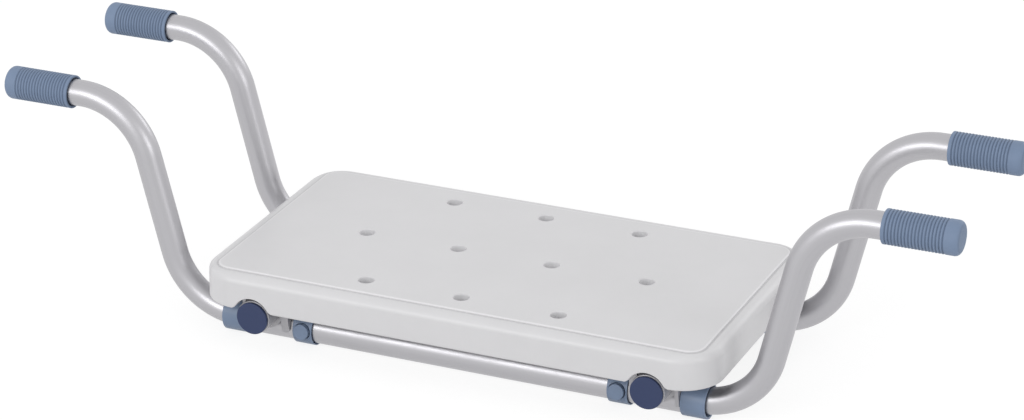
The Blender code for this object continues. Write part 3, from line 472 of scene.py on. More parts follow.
def layout():
    """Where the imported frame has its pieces, in metres, in the rear right corner."""
    def middle(node):
        """The middle of a solid's box."""
        low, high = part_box(node)
        return (low + high) / 2

    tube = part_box("rear_centre_tube")
    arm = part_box("rear_right_arm")
    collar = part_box("rear_right_end_collar")
    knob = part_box("rear_right_knob")
    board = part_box("seat_board")
    return SimpleNamespace(
        tube_y=middle("rear_centre_tube").y, tube_z=middle("rear_right_end_collar").z, tube_end=tube[1].x,
        arm_inner=arm[0].x, collar_start=collar[0].x, collar_end=collar[1].x,
        knob_face=knob[1].y, top=board[1].z, clamp_x=middle("rear_right_knob").x,
        button_x=middle("rear_right_button_collar").x, tip=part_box("rear_right_grip")[1].x)


# Shader node groups and materials

PANEL_LINE_SHADE_AND_HIGHLIGHT = (0.86, 1.14)  # brightness factors: painted shade in the groove round the panel and a painted highlight on its rim


def place(tree, kind, values=None, **settings):
    """Adds a node. values sets or links its inputs by name or number, settings sets its options."""
    node = tree.nodes.new(kind)
    for key, value in settings.items():
        setattr(node, key, value)
    for key, value in (values or {}).items():
        if isinstance(value, bpy.types.NodeSocket):
            tree.links.new(value, node.inputs[key])
        else:
            node.inputs[key].default_value = value
    return node


def maths(tree, operation, *values):
    """The result of a Math node. values are numbers or sockets."""
    return place(tree, "ShaderNodeMath", dict(enumerate(values)), operation=operation).outputs[0]


def noise(tree, where, scale, detail, roughness=0.5, dimensions="3D"):
    """The value of a noise texture."""
    values = {"Vector": where, "Scale": scale, "Detail": detail, "Roughness": roughness}
    return place(tree, "ShaderNodeTexNoise", values, noise_dimensions=dimensions).outputs["Fac"]


def shade(tree, mask, low, high, first, second):
    """A value that goes from first to second as the mask goes from low to high."""
    values = {"Value": mask, "From Min": low, "From Max": high, "To Min": first, "To Max": second}
    return place(tree, "ShaderNodeMapRange", values).outputs[0]


def clouded(tree, cloud, first, second):
    """A value that goes from first to second with the clouds, which lie between 0.3 and 0.7."""
    return shade(tree, cloud, 0.3, 0.7, first, second)


def new_group(name, inputs, outputs):
    """An empty shader node group; inputs is {name: default}, outputs a list of names."""
    group = bpy.data.node_groups.new(name, "ShaderNodeTree")
    for label, default in inputs.items():
        socket = group.interface.new_socket(name=label, in_out="INPUT", socket_type="NodeSocketFloat")
        socket.default_value = default
    for label in outputs:
        group.interface.new_socket(name=label, in_out="OUTPUT", socket_type="NodeSocketFloat")
    return group, group.nodes.new("NodeGroupInput"), group.nodes.new("NodeGroupOutput")


def grain_group():
    """Fine grain of a mould and slow clouds of tone. Height is two noises added; Cloud is one wide noise."""
    group, entry, out = new_group("Moulded grain", {"Grain": 1500.0, "Cloud": 25.0}, ["Height", "Cloud"])
    where = place(group, "ShaderNodeTexCoord").outputs["Object"]
    fine = noise(group, where, entry.outputs["Grain"], 2.0, 0.55)
    coarse = noise(group, where, maths(group, "MULTIPLY", entry.outputs["Grain"], 0.22), 2.0)
    cloud = noise(group, where, entry.outputs["Cloud"], 3.0, 0.6)
    group.links.new(maths(group, "MULTIPLY_ADD", coarse, 0.6, fine), out.inputs["Height"])
    group.links.new(cloud, out.inputs["Cloud"])
    return group


def scratch_group():
    """Hairline marks from handling, kept only in patches.

    A mark is the thin band where a noise that is drawn out in one direction crosses its middle value.
    """
    group, entry, out = new_group("Hairlines", {"Spacing": 40.0, "Width": 0.012, "Amount": 1.0}, ["Mask"])
    where = place(group, "ShaderNodeTexCoord").outputs["Object"]
    masks = []
    for turn, stretch in (((0.3, 0.2, 0.7), (1.0, 9.0, 5.0)), ((-0.4, 0.5, -0.5), (7.0, 1.0, 6.0))):
        drawn = place(group, "ShaderNodeMapping", {"Vector": where, "Rotation": turn, "Scale": stretch})
        value = noise(group, drawn.outputs[0], entry.outputs["Spacing"], 1.0)
        off = maths(group, "ABSOLUTE", maths(group, "SUBTRACT", value, 0.5))
        masks.append(shade(group, off, 0.0, entry.outputs["Width"], 1.0, 0.0))
    patches = shade(group, noise(group, where, 18.0, 2.0), 0.55, 0.7, 0.0, 1.0)
    part = maths(group, "MULTIPLY", maths(group, "MAXIMUM", *masks), patches)
    group.links.new(maths(group, "MULTIPLY", part, entry.outputs["Amount"]), out.inputs["Mask"])
    return group


def drawn_group():
    """Faint lines along a drawn tube: a noise on the tube's own UV, short round it and very long along it."""
    group, entry, out = new_group("Drawn lines", {"Along": 6.0, "Round": 1400.0}, ["Lines"])
    parts = place(group, "ShaderNodeSeparateXYZ", {0: place(group, "ShaderNodeUVMap").outputs["UV"]})
    along = maths(group, "MULTIPLY", parts.outputs[0], entry.outputs["Along"])
    across = maths(group, "MULTIPLY", parts.outputs[1], entry.outputs["Round"])
    stretched = place(group, "ShaderNodeCombineXYZ", {0: along, 1: across})
    group.links.new(noise(group, stretched.outputs[0], 1.0, 4.0, 0.65, "2D"), out.inputs["Lines"])
    return group


def grouped(tree, name, values=None):
    """Places one of the shared groups, which is made on first use."""
    makers = {"Moulded grain": grain_group, "Hairlines": scratch_group, "Drawn lines": drawn_group}
    group = bpy.data.node_groups.get(name) or makers[name]()
    node = tree.nodes.new("ShaderNodeGroup")
    node.node_tree = group
    for key, value in (values or {}).items():
        node.inputs[key].default_value = value
    return node


def cleared(holder):
    """The node tree of a new material or world, emptied."""
    holder.use_nodes = True
    holder.node_tree.nodes.clear()
    return holder.node_tree


def scaled(base, factor):
    """A colour times a factor, with its alpha."""
    return (*[min(1.0, c * factor) for c in base], 1.0)


def mixed(tree, mask, first, second):
    """A colour that goes from first to second as the mask goes from 0 to 1."""
    return place(tree, "ShaderNodeMix", {0: mask, 6: first, 7: second}, data_type="RGBA").outputs[2]


def surface(tree, tone, roughness, height, depth, constants):
    """The Principled shader. height times depth is the bump in metres; constants are its other inputs."""
    bump = place(tree, "ShaderNodeBump", {"Height": height, "Strength": 1.0, "Distance": depth})
    shader = place(tree, "ShaderNodeBsdfPrincipled", {
        "Base Color": tone, "Roughness": roughness, "Normal": bump.outputs[0], **constants})
    place(tree, "ShaderNodeOutputMaterial", {"Surface": shader.outputs[0]})


def moulding(tree, base, roughness, grain, depth, specular=0.5, metallic=0.0, line=False):
    """Moulded plastic: grain in the bump, clouds in tone and gloss, hairlines that catch light.

    With line, the line attribute paints shade into the groove round the panel and paints a highlight on its
    rim.
    """
    grains = grouped(tree, "Moulded grain", {"Grain": grain, "Cloud": 22.0})
    hairs = grouped(tree, "Hairlines").outputs["Mask"]
    cloud = grains.outputs["Cloud"]
    tone = mixed(tree, clouded(tree, cloud, 0.0, 1.0), scaled(base, 1.0), scaled(base, 1.035))
    if line:
        mark = place(tree, "ShaderNodeAttribute", attribute_name="line").outputs["Fac"]
        # painted shade in the groove round the panel and painted highlight on its rim
        line_shade_and_highlight = shade(tree, mark, 0.0, 1.0, *PANEL_LINE_SHADE_AND_HIGHLIGHT)
        tone = place(tree, "ShaderNodeVectorMath", {0: tone, "Scale": line_shade_and_highlight}, operation="SCALE").outputs[0]
    gloss = clouded(tree, cloud, roughness - 0.04, roughness + 0.04)
    worn = maths(tree, "MULTIPLY_ADD", hairs, 0.12, gloss)
    cut = maths(tree, "MULTIPLY_ADD", hairs, -0.8, grains.outputs["Height"])
    surface(tree, tone, worn, cut, depth, {"Specular IOR Level": specular, "Metallic": metallic})


def anodised(tree, base):
    """Satin anodised tube: faint drawn lines, a soft etched grain and clouded gloss."""
    lines = grouped(tree, "Drawn lines").outputs["Lines"]
    grains = grouped(tree, "Moulded grain", {"Grain": 2600.0, "Cloud": 35.0})
    hairs = grouped(tree, "Hairlines", {"Amount": 0.6, "Spacing": 55.0}).outputs["Mask"]
    tone = mixed(tree, lines, scaled(base, 1.0), scaled(base, 1.10))
    gloss = clouded(tree, grains.outputs["Cloud"], 0.36, 0.42)
    worn = maths(tree, "MULTIPLY_ADD", hairs, 0.10, gloss)
    height = maths(tree, "MULTIPLY_ADD", lines, 0.7, grains.outputs["Height"])
    surface(tree, tone, worn, height, 0.004 * MM, {"Metallic": 1.0})


def rubber(tree, base):
    """Matt moulded rubber: painted shade makes the grooves a little darker, and the crests are a little
    rubbed, from the crest attribute.
    """
    grains = grouped(tree, "Moulded grain", {"Grain": 1800.0, "Cloud": 40.0})
    crest = place(tree, "ShaderNodeAttribute", attribute_name="crest").outputs["Fac"]
    rubbed = maths(tree, "MULTIPLY", crest, grains.outputs["Cloud"])
    # painted shade in the grooves between the ribs, brought back to the base tone on the crests
    groove = scaled(base, 0.74)
    ribbed = mixed(tree, crest, groove, scaled(groove[:3], 1.35))
    tone = mixed(tree, shade(tree, rubbed, 0.35, 0.8, 0.0, 0.5), ribbed, scaled(base, 1.22))
    gloss = shade(tree, rubbed, 0.2, 0.8, 0.62, 0.50)
    surface(tree, tone, gloss, grains.outputs["Height"], 0.02 * MM, {"Specular IOR Level": 0.35})


def plated(tree, base):
    """Zinc plated steel: a fine crystalline mottle in tone and gloss."""
    grains = grouped(tree, "Moulded grain", {"Grain": 3200.0, "Cloud": 160.0})
    cloud = grains.outputs["Cloud"]
    tone = mixed(tree, cloud, scaled(base, 1.0), scaled(base, 1.18))
    gloss = clouded(tree, cloud, 0.25, 0.36)
    surface(tree, tone, gloss, grains.outputs["Height"], 0.006 * MM, {"Metallic": 1.0})


def finish(name):
    """One of the part's finishes, made on first use from the scene's colours."""
    if name in bpy.data.materials:
        return bpy.data.materials[name]
    tones = bpy.context.scene.bath_colours
    material = bpy.data.materials.new(name)
    tree = cleared(material)
    if name == "white_moulding":
        moulding(tree, tones.white, 0.35, 1500.0, 0.010 * MM, line=True)
    elif name == "collar_moulding":
        moulding(tree, tones.collar, 0.40, 1900.0, 0.012 * MM)
    elif name == "knob_moulding":
        moulding(tree, tones.knob, 0.38, 1900.0, 0.010 * MM, specular=0.3)
    elif name == "clamp_moulding":
        moulding(tree, tones.clamp, 0.34, 2200.0, 0.008 * MM, metallic=0.35)
    elif name == "anodised_tube":
        anodised(tree, tones.aluminium)
    elif name == "sleeve_rubber":
        rubber(tree, tones.rubber)
    else:
        plated(tree, tones.steel)
    return material


# Seat board

def board_section(s):
    """Section through the board's edge, the radius of its corners at each point, and the apron's place.

    Points are (outwards from the panel's edge, up from the panel's top): a short sloping step into a shallow
    groove, two arcs of the shoulder, the leaning apron, its round foot, and the inside back up to the
    underside on a hollow quarter curve. The corners are tight at the groove and open out over the shoulder.
    """
    run, low, high = s.step_run, -s.step - s.groove, -s.step - 0.06 * MM
    round_step, round_rim = 0.8 * MM, 0.3 * MM
    step = softened([(-2.4 * run, 0.0), (-0.9 * run, 0.0), (-0.5 * run, low), (0.2 * run, low),
                     (1.3 * run, high)], round_step, 6, closed=False)
    step[:, 0] -= s.line_inset
    a = np.linspace(math.asin(1.5 * run / s.shoulder_radius), s.shoulder_break, 9)
    wide = np.stack([s.shoulder_radius * np.sin(a), -s.step - s.shoulder_radius * (1 - np.cos(a))], 1)
    b = np.linspace(s.shoulder_break, s.edge_end, 12)[1:]
    tight = np.stack([s.edge_radius * (np.sin(b) - math.sin(s.shoulder_break)),
                      -s.edge_radius * (math.cos(s.shoulder_break) - np.cos(b))], 1) + wide[-1]
    wall = tight[-1, 0] + s.draft
    foot = arc(s.foot_radius, 0.0, -90.0, 7, (wall - s.foot_radius, s.foot_radius - s.depth))
    inside = wall - s.wall
    rim = softened([(foot[-1, 0], -s.depth), (inside, -s.depth), (inside - s.draft, -s.wall - s.edge_radius)],
                   round_rim, closed=False)[1:-1]
    c = np.linspace(0.0, np.pi / 2, 8)
    hollow = s.edge_radius * 0.8
    inner = np.stack([inside - s.draft - hollow * (1 - np.cos(c)), -s.wall - hollow * (1 - np.sin(c))], 1)
    section = joined_points(step, wide, tight, foot, rim, inner)
    corner = s.panel_corner + section[:, 0]
    corner[:len(step)] = s.line_corner + s.line_inset + step[:, 0]
    first, last = len(step) - 1, len(step) + len(wide) + len(tight) - 1
    ends = [first, last]
    corner[first:last + 1] = np.interp(section[first:last + 1, 0], section[ends, 0], corner[ends])
    return section, corner, wall


def rounded_loops(half_x, half_y, radius, z, steps=14):
    """Rectangles with round corners, one row for each entry: corner centres plus radius (cos, sin)."""
    quarter = np.arange(4)[:, None] * 90.0 + np.linspace(0.0, 90.0, steps + 1)[None]
    a = np.radians(quarter).ravel()
    side_x = np.repeat([1.0, -1.0, -1.0, 1.0], steps + 1)
    side_y = np.repeat([1.0, 1.0, -1.0, -1.0], steps + 1)
    x = side_x * (half_x - radius)[:, None] + radius[:, None] * np.cos(a)
    y = side_y * (half_y - radius)[:, None] + radius[:, None] * np.sin(a)
    return np.stack([x, y, np.broadcast_to(z[:, None], x.shape)], -1)


def rib_outline(s, half, wall, top):
    """A rib across the underside, as (across, z), with a knee under the shoulder."""
    end = half + wall - s.wall / 2
    knee = top - s.wall - s.edge_radius / 2
    low = top - s.wall - s.rib_drop
    root = top - s.wall / 2
    return np.array([(-end, low), (end, low), (end, knee), (half, root), (-half, root), (-end, knee)])


def arch_outline(s, foot):
    """Opening round a knob as (x, z) from the knob's axis: a round top and a fillet down each side."""
    reach = s.arch_radius + s.arch_fillet
    rise = foot + s.arch_fillet - s.arch_lift
    across = math.sqrt(reach ** 2 - rise ** 2)
    join = math.degrees(math.atan2(rise, across))
    side = arc(s.arch_fillet, 270.0, 180.0 + join, 8, (across, foot + s.arch_fillet))
    right = joined_points((across, foot - s.foot_radius - PAST), side)
    top = arc(s.arch_radius, join, 180.0 - join, 32, (0.0, s.arch_lift))[1:-1]
    left = right[::-1] * (-1.0, 1.0)
    return joined_points(right, top, left)


def make_board():
    """The seat board: a swept edge round a flat panel, with ribs, pads, hoods, bosses, arches and drains."""
    s, t, c, at = given()
    gap, margin, sunk = t.seat_gap, 0.5 * MM, 0.05 * MM
    round_rib, round_pad, round_boss, round_collar = 0.45 * MM, 0.3 * MM, 0.25 * MM, 0.4 * MM
    section, corner, wall = board_section(s)
    out, up = section[:, 0], section[:, 1]
    half_x, half_y = s.panel_length / 2, s.panel_width / 2
    base = skin(rounded_loops(half_x + out, half_y + out, corner, at.top + up), caps=True)

    root, underside = at.top - s.wall / 2, at.top - s.wall
    plate = at.tube_z + c.plate_top + gap
    axis_z = at.tube_z + c.rise
    half_rib = s.rib / 2
    along_y = rib_outline(s, half_y, wall, at.top)
    along_x = rib_outline(s, half_x, wall, at.top)[:, ::-1]
    cross = [prism(along_y, side * x - half_rib, side * x + half_rib, "X", round_rib)
             for x in (s.rib_inner, s.rib_middle, s.rib_outer) for side in SIDES]
    long = [prism(along_x, side * s.rib_long - half_rib, side * s.rib_long + half_rib, "Y", round_rib)
            for side in SIDES]

    half = c.width / 2 - margin
    inner = half - s.pad_wall
    near, far = at.tube_y - c.plate_reach + margin, at.tube_y + t.tube / 2 - gap
    hood_near = at.tube_y + t.tube / 2 + gap + c.skin + gap
    apron = half_y + wall - s.wall / 2
    dome_radius = s.arch_radius + s.hood
    foot = at.top - s.depth - axis_z
    start = math.degrees(math.asin((foot - s.arch_lift) / dome_radius))
    pads, pockets, hoods, webs, bosses, bores, arches = [], [], [], [], [], [], []
    for sx, sy in CORNERS.values():
        x = sx * at.clamp_x

        def across(outline, first, last, edge=0.0):
            """An outline of (x, z) carried across the seat, between two distances from its middle."""
            low, high = sorted((sy * first, sy * last))
            return prism(np.asarray(outline)[:, ::-1], low, high, "Y", edge)

        pads.append(across(softened(rectangle(x - half, x + half, plate, root), round_pad), near, far))
        pockets.append(across(rectangle(x - inner, x + inner, plate - PAST, underside), near + s.pad_wall,
                              far - s.pad_wall))
        hoods.append(across(arc(dome_radius, start, 180.0 - start, 28, (x, axis_z + s.arch_lift)),
                            hood_near, apron, round_pad))
        crown = axis_z + s.arch_lift + s.arch_radius + s.hood / 2
        web = [(sy * hood_near, crown), (sy * apron, crown), (sy * apron, underside - s.edge_radius / 2),
               (sy * half_y, root), (sy * hood_near, root)]
        webs.append(prism(web, x - half_rib, x + half_rib, "X"))
        opening = arch_outline(s, foot)[:, ::-1] + (axis_z, x)
        face = half_y + wall
        arches.append(flared(opening, sy * (hood_near - PAST), sy * (face + 2 * PAST), sy * (face - sunk),
                             s.arch_round, "Y"))
        for side in SIDES:
            centre = (x + side * c.screw_spacing / 2, sy * (at.tube_y - c.screw_setback), 0.0)
            bosses.append(prism(circle(s.boss / 2, 28), plate, root, "Z", round_boss, centre=centre))
            depth = plate + c.screw_length - c.plate + PAST
            bores.append(prism(circle(c.screw / 2 + gap, 24), plate - PAST, depth, "Z", centre=centre))
    drain_end = at.top - s.drain_depth
    drains, collars = [], []
    for x, y in drain_places(s):
        drains.append(flared(circle(s.drain / 2, 44), drain_end - PAST, at.top + PAST, at.top, s.drain_round,
                             "Z", centre=(x, y, 0.0), steps=6))
        collars.append(prism(circle(s.drain / 2 + s.drain_wall, 44), drain_end, root, "Z", round_collar,
                             centre=(x, y, 0.0)))
    steps = [
        ("join", collars), ("join", cross), ("join", long), ("join", pads), ("join", hoods), ("join", webs),
        ("cut", pockets), ("join", bosses), ("cut", arches), ("cut", bores), ("cut", drains)]
    mesh = combined(base, [(action, gathered(meshes)) for action, meshes in steps])
    place_line(mesh, s, at.top)
    finished("seat_moulding", mesh, "white_moulding", "frame", ["seat_board"], 28.0)


def place_line(mesh, s, top):
    """Writes the line attribute: 1 on the panel's rim, which gets a painted highlight, 0 in the line round
    it, which gets painted shade, 0.5 elsewhere.

    A point's distance from the line is |max(|p| - core, 0)| - corner, where core is the rectangle of the
    corners' centres.
    """
    points = coordinates(mesh)
    core = np.array([s.panel_length, s.panel_width]) / 2 - s.line_inset - s.line_corner
    away = np.linalg.norm(np.maximum(np.abs(points[:, :2]) - core, 0.0), axis=1) - s.line_corner
    drop = top - points[:, 2]
    value = np.full(len(points), 0.5)
    # painted highlight on the rim
    value[(away > -1.7 * s.step_run) & (away < 0.0) & (drop < 0.5 * s.step)] = 1.0
    # painted shade in the groove
    value[(away > -0.8 * s.step_run) & (away < 0.9 * s.step_run) & (drop > s.step + 0.2 * s.groove)
          & (drop < s.step + 1.5 * s.groove)] = 0.0
    mark_points(mesh, "line", value)


def drain_places(s):
    """Centres of the drain holes: rows of three, four and three."""
    outer = s.panel_width / 2 - s.drain_inset
    rows = [(k * s.drain_pitch_outer, side * outer) for side in SIDES for k in (-1, 0, 1)]
    return rows + [(k * s.drain_pitch_middle, 0.0) for k in (-1.5, -0.5, 0.5, 1.5)]


# Tubes and arms

def tube_profile(start, end, inner, outer, edge):
    """Closed profile of a tube's wall, (distance, radius), with eased corners."""
    return softened(rectangle(start, end, inner, outer), edge)


def make_centre_tubes():
    """The two centre tubes, each with a hole for a push button near its ends."""
    _, t, _, at = given()
    outer, edge = t.tube / 2, 0.25 * MM
    profile = tube_profile(-at.tube_end, at.tube_end, outer - t.tube_wall, outer, edge)
    tube = ring(profile, 72, "X")
    drill = circle(t.button / 2 + t.seat_gap, 40)
    drills = [moved(tilted(prism(drill, 0.0, t.collar, "Y"), t.button_tilt), x=side * at.button_x)
              for side in SIDES]
    tube = moved(combined(tube, [("cut", gathered(drills))]), y=at.tube_y, z=at.tube_z)
    for end, sy in (("front", -1), ("rear", 1)):
        finished(f"{end}_cross_tube", mirrored(tube, 1, sy), "anodised_tube", "frame",
                 [f"{end}_centre_tube"])


def arm_line(t, start):
    """The arm's centreline at given distances along it: x, z and slope.

    The slope is a broken line over the distance: level, up to the leg's angle over the low bend, held
    over the leg, back to level over the high bend. x and z add up cos and sin of the slope, step by step,
    each step taken as the arc that it is.
    """
    turn = t.leg_angle
    knots = np.cumsum([0.0, t.arm_insert, t.low_bend * turn, t.leg, t.high_bend * turn, t.rest])
    bend = np.linspace(0.0, 1.0, 29)
    runs = np.concatenate([
        np.linspace(knots[0], knots[1], 8), knots[1] + (knots[2] - knots[1]) * bend,
        np.linspace(knots[2], knots[3], 6), knots[3] + (knots[4] - knots[3]) * bend,
        np.linspace(knots[4], knots[5], 6)])
    runs = np.unique(np.round(runs, 9))
    slope = np.interp(runs, knots, [0.0, 0.0, turn, turn, 0.0, 0.0])
    half_turn, middle, length = np.diff(slope) / 2, (slope[1:] + slope[:-1]) / 2, np.diff(runs)
    chord = length * np.sinc(half_turn / np.pi)
    x = start + np.concatenate([[0.0], np.cumsum(chord * np.cos(middle))])
    z = np.concatenate([[0.0], np.cumsum(chord * np.sin(middle))])
    return runs, x, z, slope


def key_row(button_x, start):
    """Outline of the stop holes and the slot that joins them, as (x, z): four circles on a band."""
    hole, slot, pitch, stops = 3.3 * MM, 1.8 * MM, 40.0 * MM / 3, 4
    open_angle = math.degrees(math.asin(slot / hole))
    first = button_x - start - (stops - 1) * pitch
    upper = joined_points(*[
        arc(hole, 180.0 if k == 0 else 180.0 - open_angle, 0.0 if k == stops - 1 else open_angle, 12,
            (first + k * pitch, 0.0)) for k in range(stops)])
    return joined_points(upper, upper[1:-1][::-1] * (1.0, -1.0))


def make_arms():
    """The four arms: a tube's wall carried along the cranked centreline, with its row of stop holes.

    A point at distance d along the wall and angle a round it is the centreline's point at d plus radius times
    (-sin a sin slope, cos a, sin a cos slope).
    """
    _, t, _, at = given()
    runs, x, z, slope = arm_line(t, at.arm_inner)
    outer, inner, edge = t.arm / 2, t.arm / 2 - t.arm_wall, 0.3 * MM
    bevel = 0.3 * edge
    length = runs[-1]
    inside = runs[1:-1]
    wall = joined_points(
        (0.0, inner + edge), (0.0, outer - edge), (bevel, outer - bevel), (edge, outer),
        np.stack([inside, np.full(len(inside), outer)], 1),
        (length - edge, outer), (length - bevel, outer - bevel), (length, outer - edge),
        (length, inner + edge), (length - edge, inner),
        np.stack([inside[::-1], np.full(len(inside), inner)], 1), (edge, inner), (0.0, inner + edge))
    along, radius = wall[:, 0], wall[:, 1:]
    px, pz, pa = (np.interp(along, runs, values)[:, None] for values in (x, z, slope))
    a = 2 * np.pi * np.arange(56) / 56
    lift = radius * np.sin(a)
    points = np.stack([px - lift * np.sin(pa), radius * np.cos(a), pz + lift * np.cos(pa)], -1)
    start = at.arm_inner + t.arm_insert
    row = key_row(at.button_x, start) + (start, 0.0)
    cutter = tilted(prism(row[:, ::-1], inner / 2, 2 * outer, "Y"), t.button_tilt)
    arm = moved(combined(skin(points), [("cut", cutter)]), y=at.tube_y, z=at.tube_z)
    four("{}_crank", arm, "anodised_tube", "{}_sliding_arm", "{}_arm")


def make_sleeves():
    """The four rubber sleeves.

    Outside, the radius dips by rib_depth((1 - cos t)/2)^2, where t makes one turn in each rib's pitch.
    """
    _, t, _, at = given()
    crest, bore = t.sleeve / 2, t.arm / 2 + t.seat_gap
    cap, points_per_rib = 3.0 * MM, 12
    mouth_wall, mouth_depth, round_mouth, round_inside = 0.8 * MM, 2.0 * MM, 0.6 * MM, 0.5 * MM
    start, floor = at.tip - t.sleeve_length, at.tip - cap
    ribbed = start + t.sleeve_lip
    phase = np.linspace(0.0, t.rib_count, t.rib_count * points_per_rib + 1)
    groove = t.rib_depth * (0.5 - 0.5 * np.cos(2 * np.pi * phase)) ** 2.0
    ribs = np.stack([ribbed + phase * t.rib_pitch, crest - groove], 1)
    mouth = softened([(start, bore + mouth_wall), (start, crest), (ribbed, crest)], round_mouth, 5,
                     closed=False)
    end = arc(t.sleeve_end, 90.0, 0.0, 10, (at.tip - t.sleeve_end, crest - t.sleeve_end))
    face = np.stack([np.full(6, at.tip), np.linspace(end[-1, 1], 0.0, 7)[1:]], 1)
    inside = softened([(floor, 0.0), (floor, bore), (start, bore)], round_inside, closed=False)
    profile = joined_points(inside[:-1], (start + mouth_depth, bore), mouth[:-1], ribs, end, face)
    height = np.clip((profile[:, 1] - (crest - t.rib_depth)) / t.rib_depth, 0.0, 1.0)
    height[-len(end) - len(face):] = 1.0
    mesh = turned(profile, 72, "X")
    place_crest(mesh, profile, height, t.sleeve_end)
    rise = arm_line(t, at.arm_inner)[2][-1]
    moved(mesh, y=at.tube_y, z=at.tube_z + rise)
    four("{}_sleeve", mesh, "sleeve_rubber", "{}_sliding_arm", "{}_grip")


def place_crest(mesh, profile, height, end_radius):
    """Writes the crest attribute: the profile's height at a point's place along the axis.

    It is 1 near the closed end, and 0.6 times that height inside; a lower value gives more painted shade in
    the rubber's tone.
    """
    points = coordinates(mesh)
    radius = np.hypot(points[:, 1], points[:, 2])
    outer = profile[:, 1] > profile[:, 1].max() * 0.9
    order = np.argsort(profile[outer, 0])
    value = np.interp(points[:, 0], profile[outer, 0][order], height[outer][order])
    value[points[:, 0] > profile[:, 0].max() - end_radius * 1.2] = 1.0
    # inside the sleeve, the lower value paints shade
    value[radius < profile[:, 1].max() * 0.85] *= 0.6
    mark_points(mesh, "crest", value)


# Collars and buttons

def make_collars():
    """End collars with an open mouth, and button collars with a round hole."""
    _, t, _, at = given()
    bore, outer, mouth = t.tube / 2 + t.seat_gap, t.collar / 2, t.arm / 2 + t.mouth_gap
    step = at.tube_end + t.seat_gap
    end = softened([(at.collar_start, bore), (step, bore), (step, mouth), (at.collar_end, mouth),
                    (at.collar_end, outer), (at.collar_start, outer)], t.collar_edge)
    mesh = ring(end, 80, "X", (0.0, at.tube_y, at.tube_z))
    four("{}_end_bush", mesh, "collar_moulding", "frame", "{}_end_collar")

    low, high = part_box("rear_right_button_collar")
    half = (high.x - low.x) / 2
    lip, depth, edge = bore + 0.7 * MM, 1.6 * MM, 0.3 * MM
    band = softened([(-half, lip), (depth - half, bore), (half - depth, bore), (half, lip), (half, outer),
                     (-half, outer)], edge)
    radius = t.button / 2 + t.seat_gap
    rim, rim_rise = 0.35 * MM, 0.55 * MM
    face = outer * math.cos(math.asin(radius / outer)) + rim_rise
    drill = tilted(flared(circle(radius, 44), 0.0, outer + 3 * PAST, face, rim, "Y"), t.button_tilt)
    mesh = moved(combined(ring(band, 80, "X"), [("cut", drill)]), at.button_x, at.tube_y, at.tube_z)
    four("{}_button_housing", mesh, "collar_moulding", "frame", "{}_button_collar")


def make_buttons():
    """Push buttons, with their lock pins and springs."""
    _, t, _, at = given()
    spot = (at.button_x, at.tube_y, at.tube_z)
    body = "{}_press_button"
    radius, face = t.button / 2, t.collar / 2 + t.button_proud
    skirt = t.arm / 2 - t.arm_wall
    crown, shoulder, round_rim, round_pin, round_strip = 0.18 * MM, 0.2 * MM, 0.5 * MM, 0.25 * MM, 0.12 * MM
    part = np.linspace(0.0, 0.92, 8)
    top = np.stack([face - crown * part ** 2, radius * part], 1)
    rim = softened([top[-1], (face - shoulder, radius), (skirt, radius)], round_rim, 6, closed=False)[1:]
    cap = turned(joined_points(top, rim, (skirt, 0.0)), 56, "Y")
    under = circle(t.arm / 2 + t.seat_gap, 56)
    hollow = prism(under, -t.collar, t.collar, "X", centre=(0.0, t.button_travel, 0.0))
    neck, cap_wall = 1.5 * MM, 1.1 * MM
    floor = face - cap_wall
    socket = turned([(0.0, 0.0), (0.0, neck + t.seat_gap), (floor, neck + t.seat_gap), (floor, 0.0)], 24, "Y")
    mesh = tilted(combined(cap, [("cut", hollow), ("cut", socket)]), t.button_tilt)
    four("{}_push_button", moved(mesh, *spot), "collar_moulding", body, "{}_button")

    bore, head, height = 7.79 * MM, 3.0 * MM, 2.4 * MM
    pin_top = bore - t.seat_gap
    pin = softened([(pin_top - height, 0.0), (pin_top - height, head), (pin_top, head), (pin_top, neck),
                    (floor - t.seat_gap, neck), (floor - t.seat_gap, 0.0)], round_pin, closed=False)
    mesh = tilted(turned(pin, 32, "Y"), t.button_tilt)
    four("{}_stop_pin", moved(mesh, *spot), "zinc_plate", body, "{}_lock_pin")

    strip, width, length, spread = 0.6 * MM, 4.0 * MM, 18.0 * MM, 9.6 * MM
    leg = bore - 2 * t.seat_gap - height
    bend = spread / 4
    turn_x, middle, foot = length - head - bend, leg - bend, leg - spread
    outline = joined_points(
        (-head, leg), arc(bend, 90.0, -90.0, 16, (turn_x, middle)), (-head, foot), (-head, foot + strip),
        arc(bend - strip, -90.0, 90.0, 16, (turn_x, middle)), (-head, leg - strip))
    mesh = tilted(prism(outline, -width / 2, width / 2, "Z", round_strip), t.button_tilt)
    four("{}_bent_spring", moved(mesh, *spot), "zinc_plate", body, "{}_button_spring")


# Clamps, knobs and fasteners

def lip_trim(c, radius, near, far):
    """What lies below a circle about the knob's axis, from near outwards."""
    wide = c.width
    curve = arc(radius, 0.0, -180.0, 36)
    outline = joined_points((-wide, -wide), (wide, -wide), (wide, 0.0), curve, (-wide, 0.0))
    return prism(outline[:, ::-1], near, far, "Y", centre=(0.0, 0.0, c.rise))


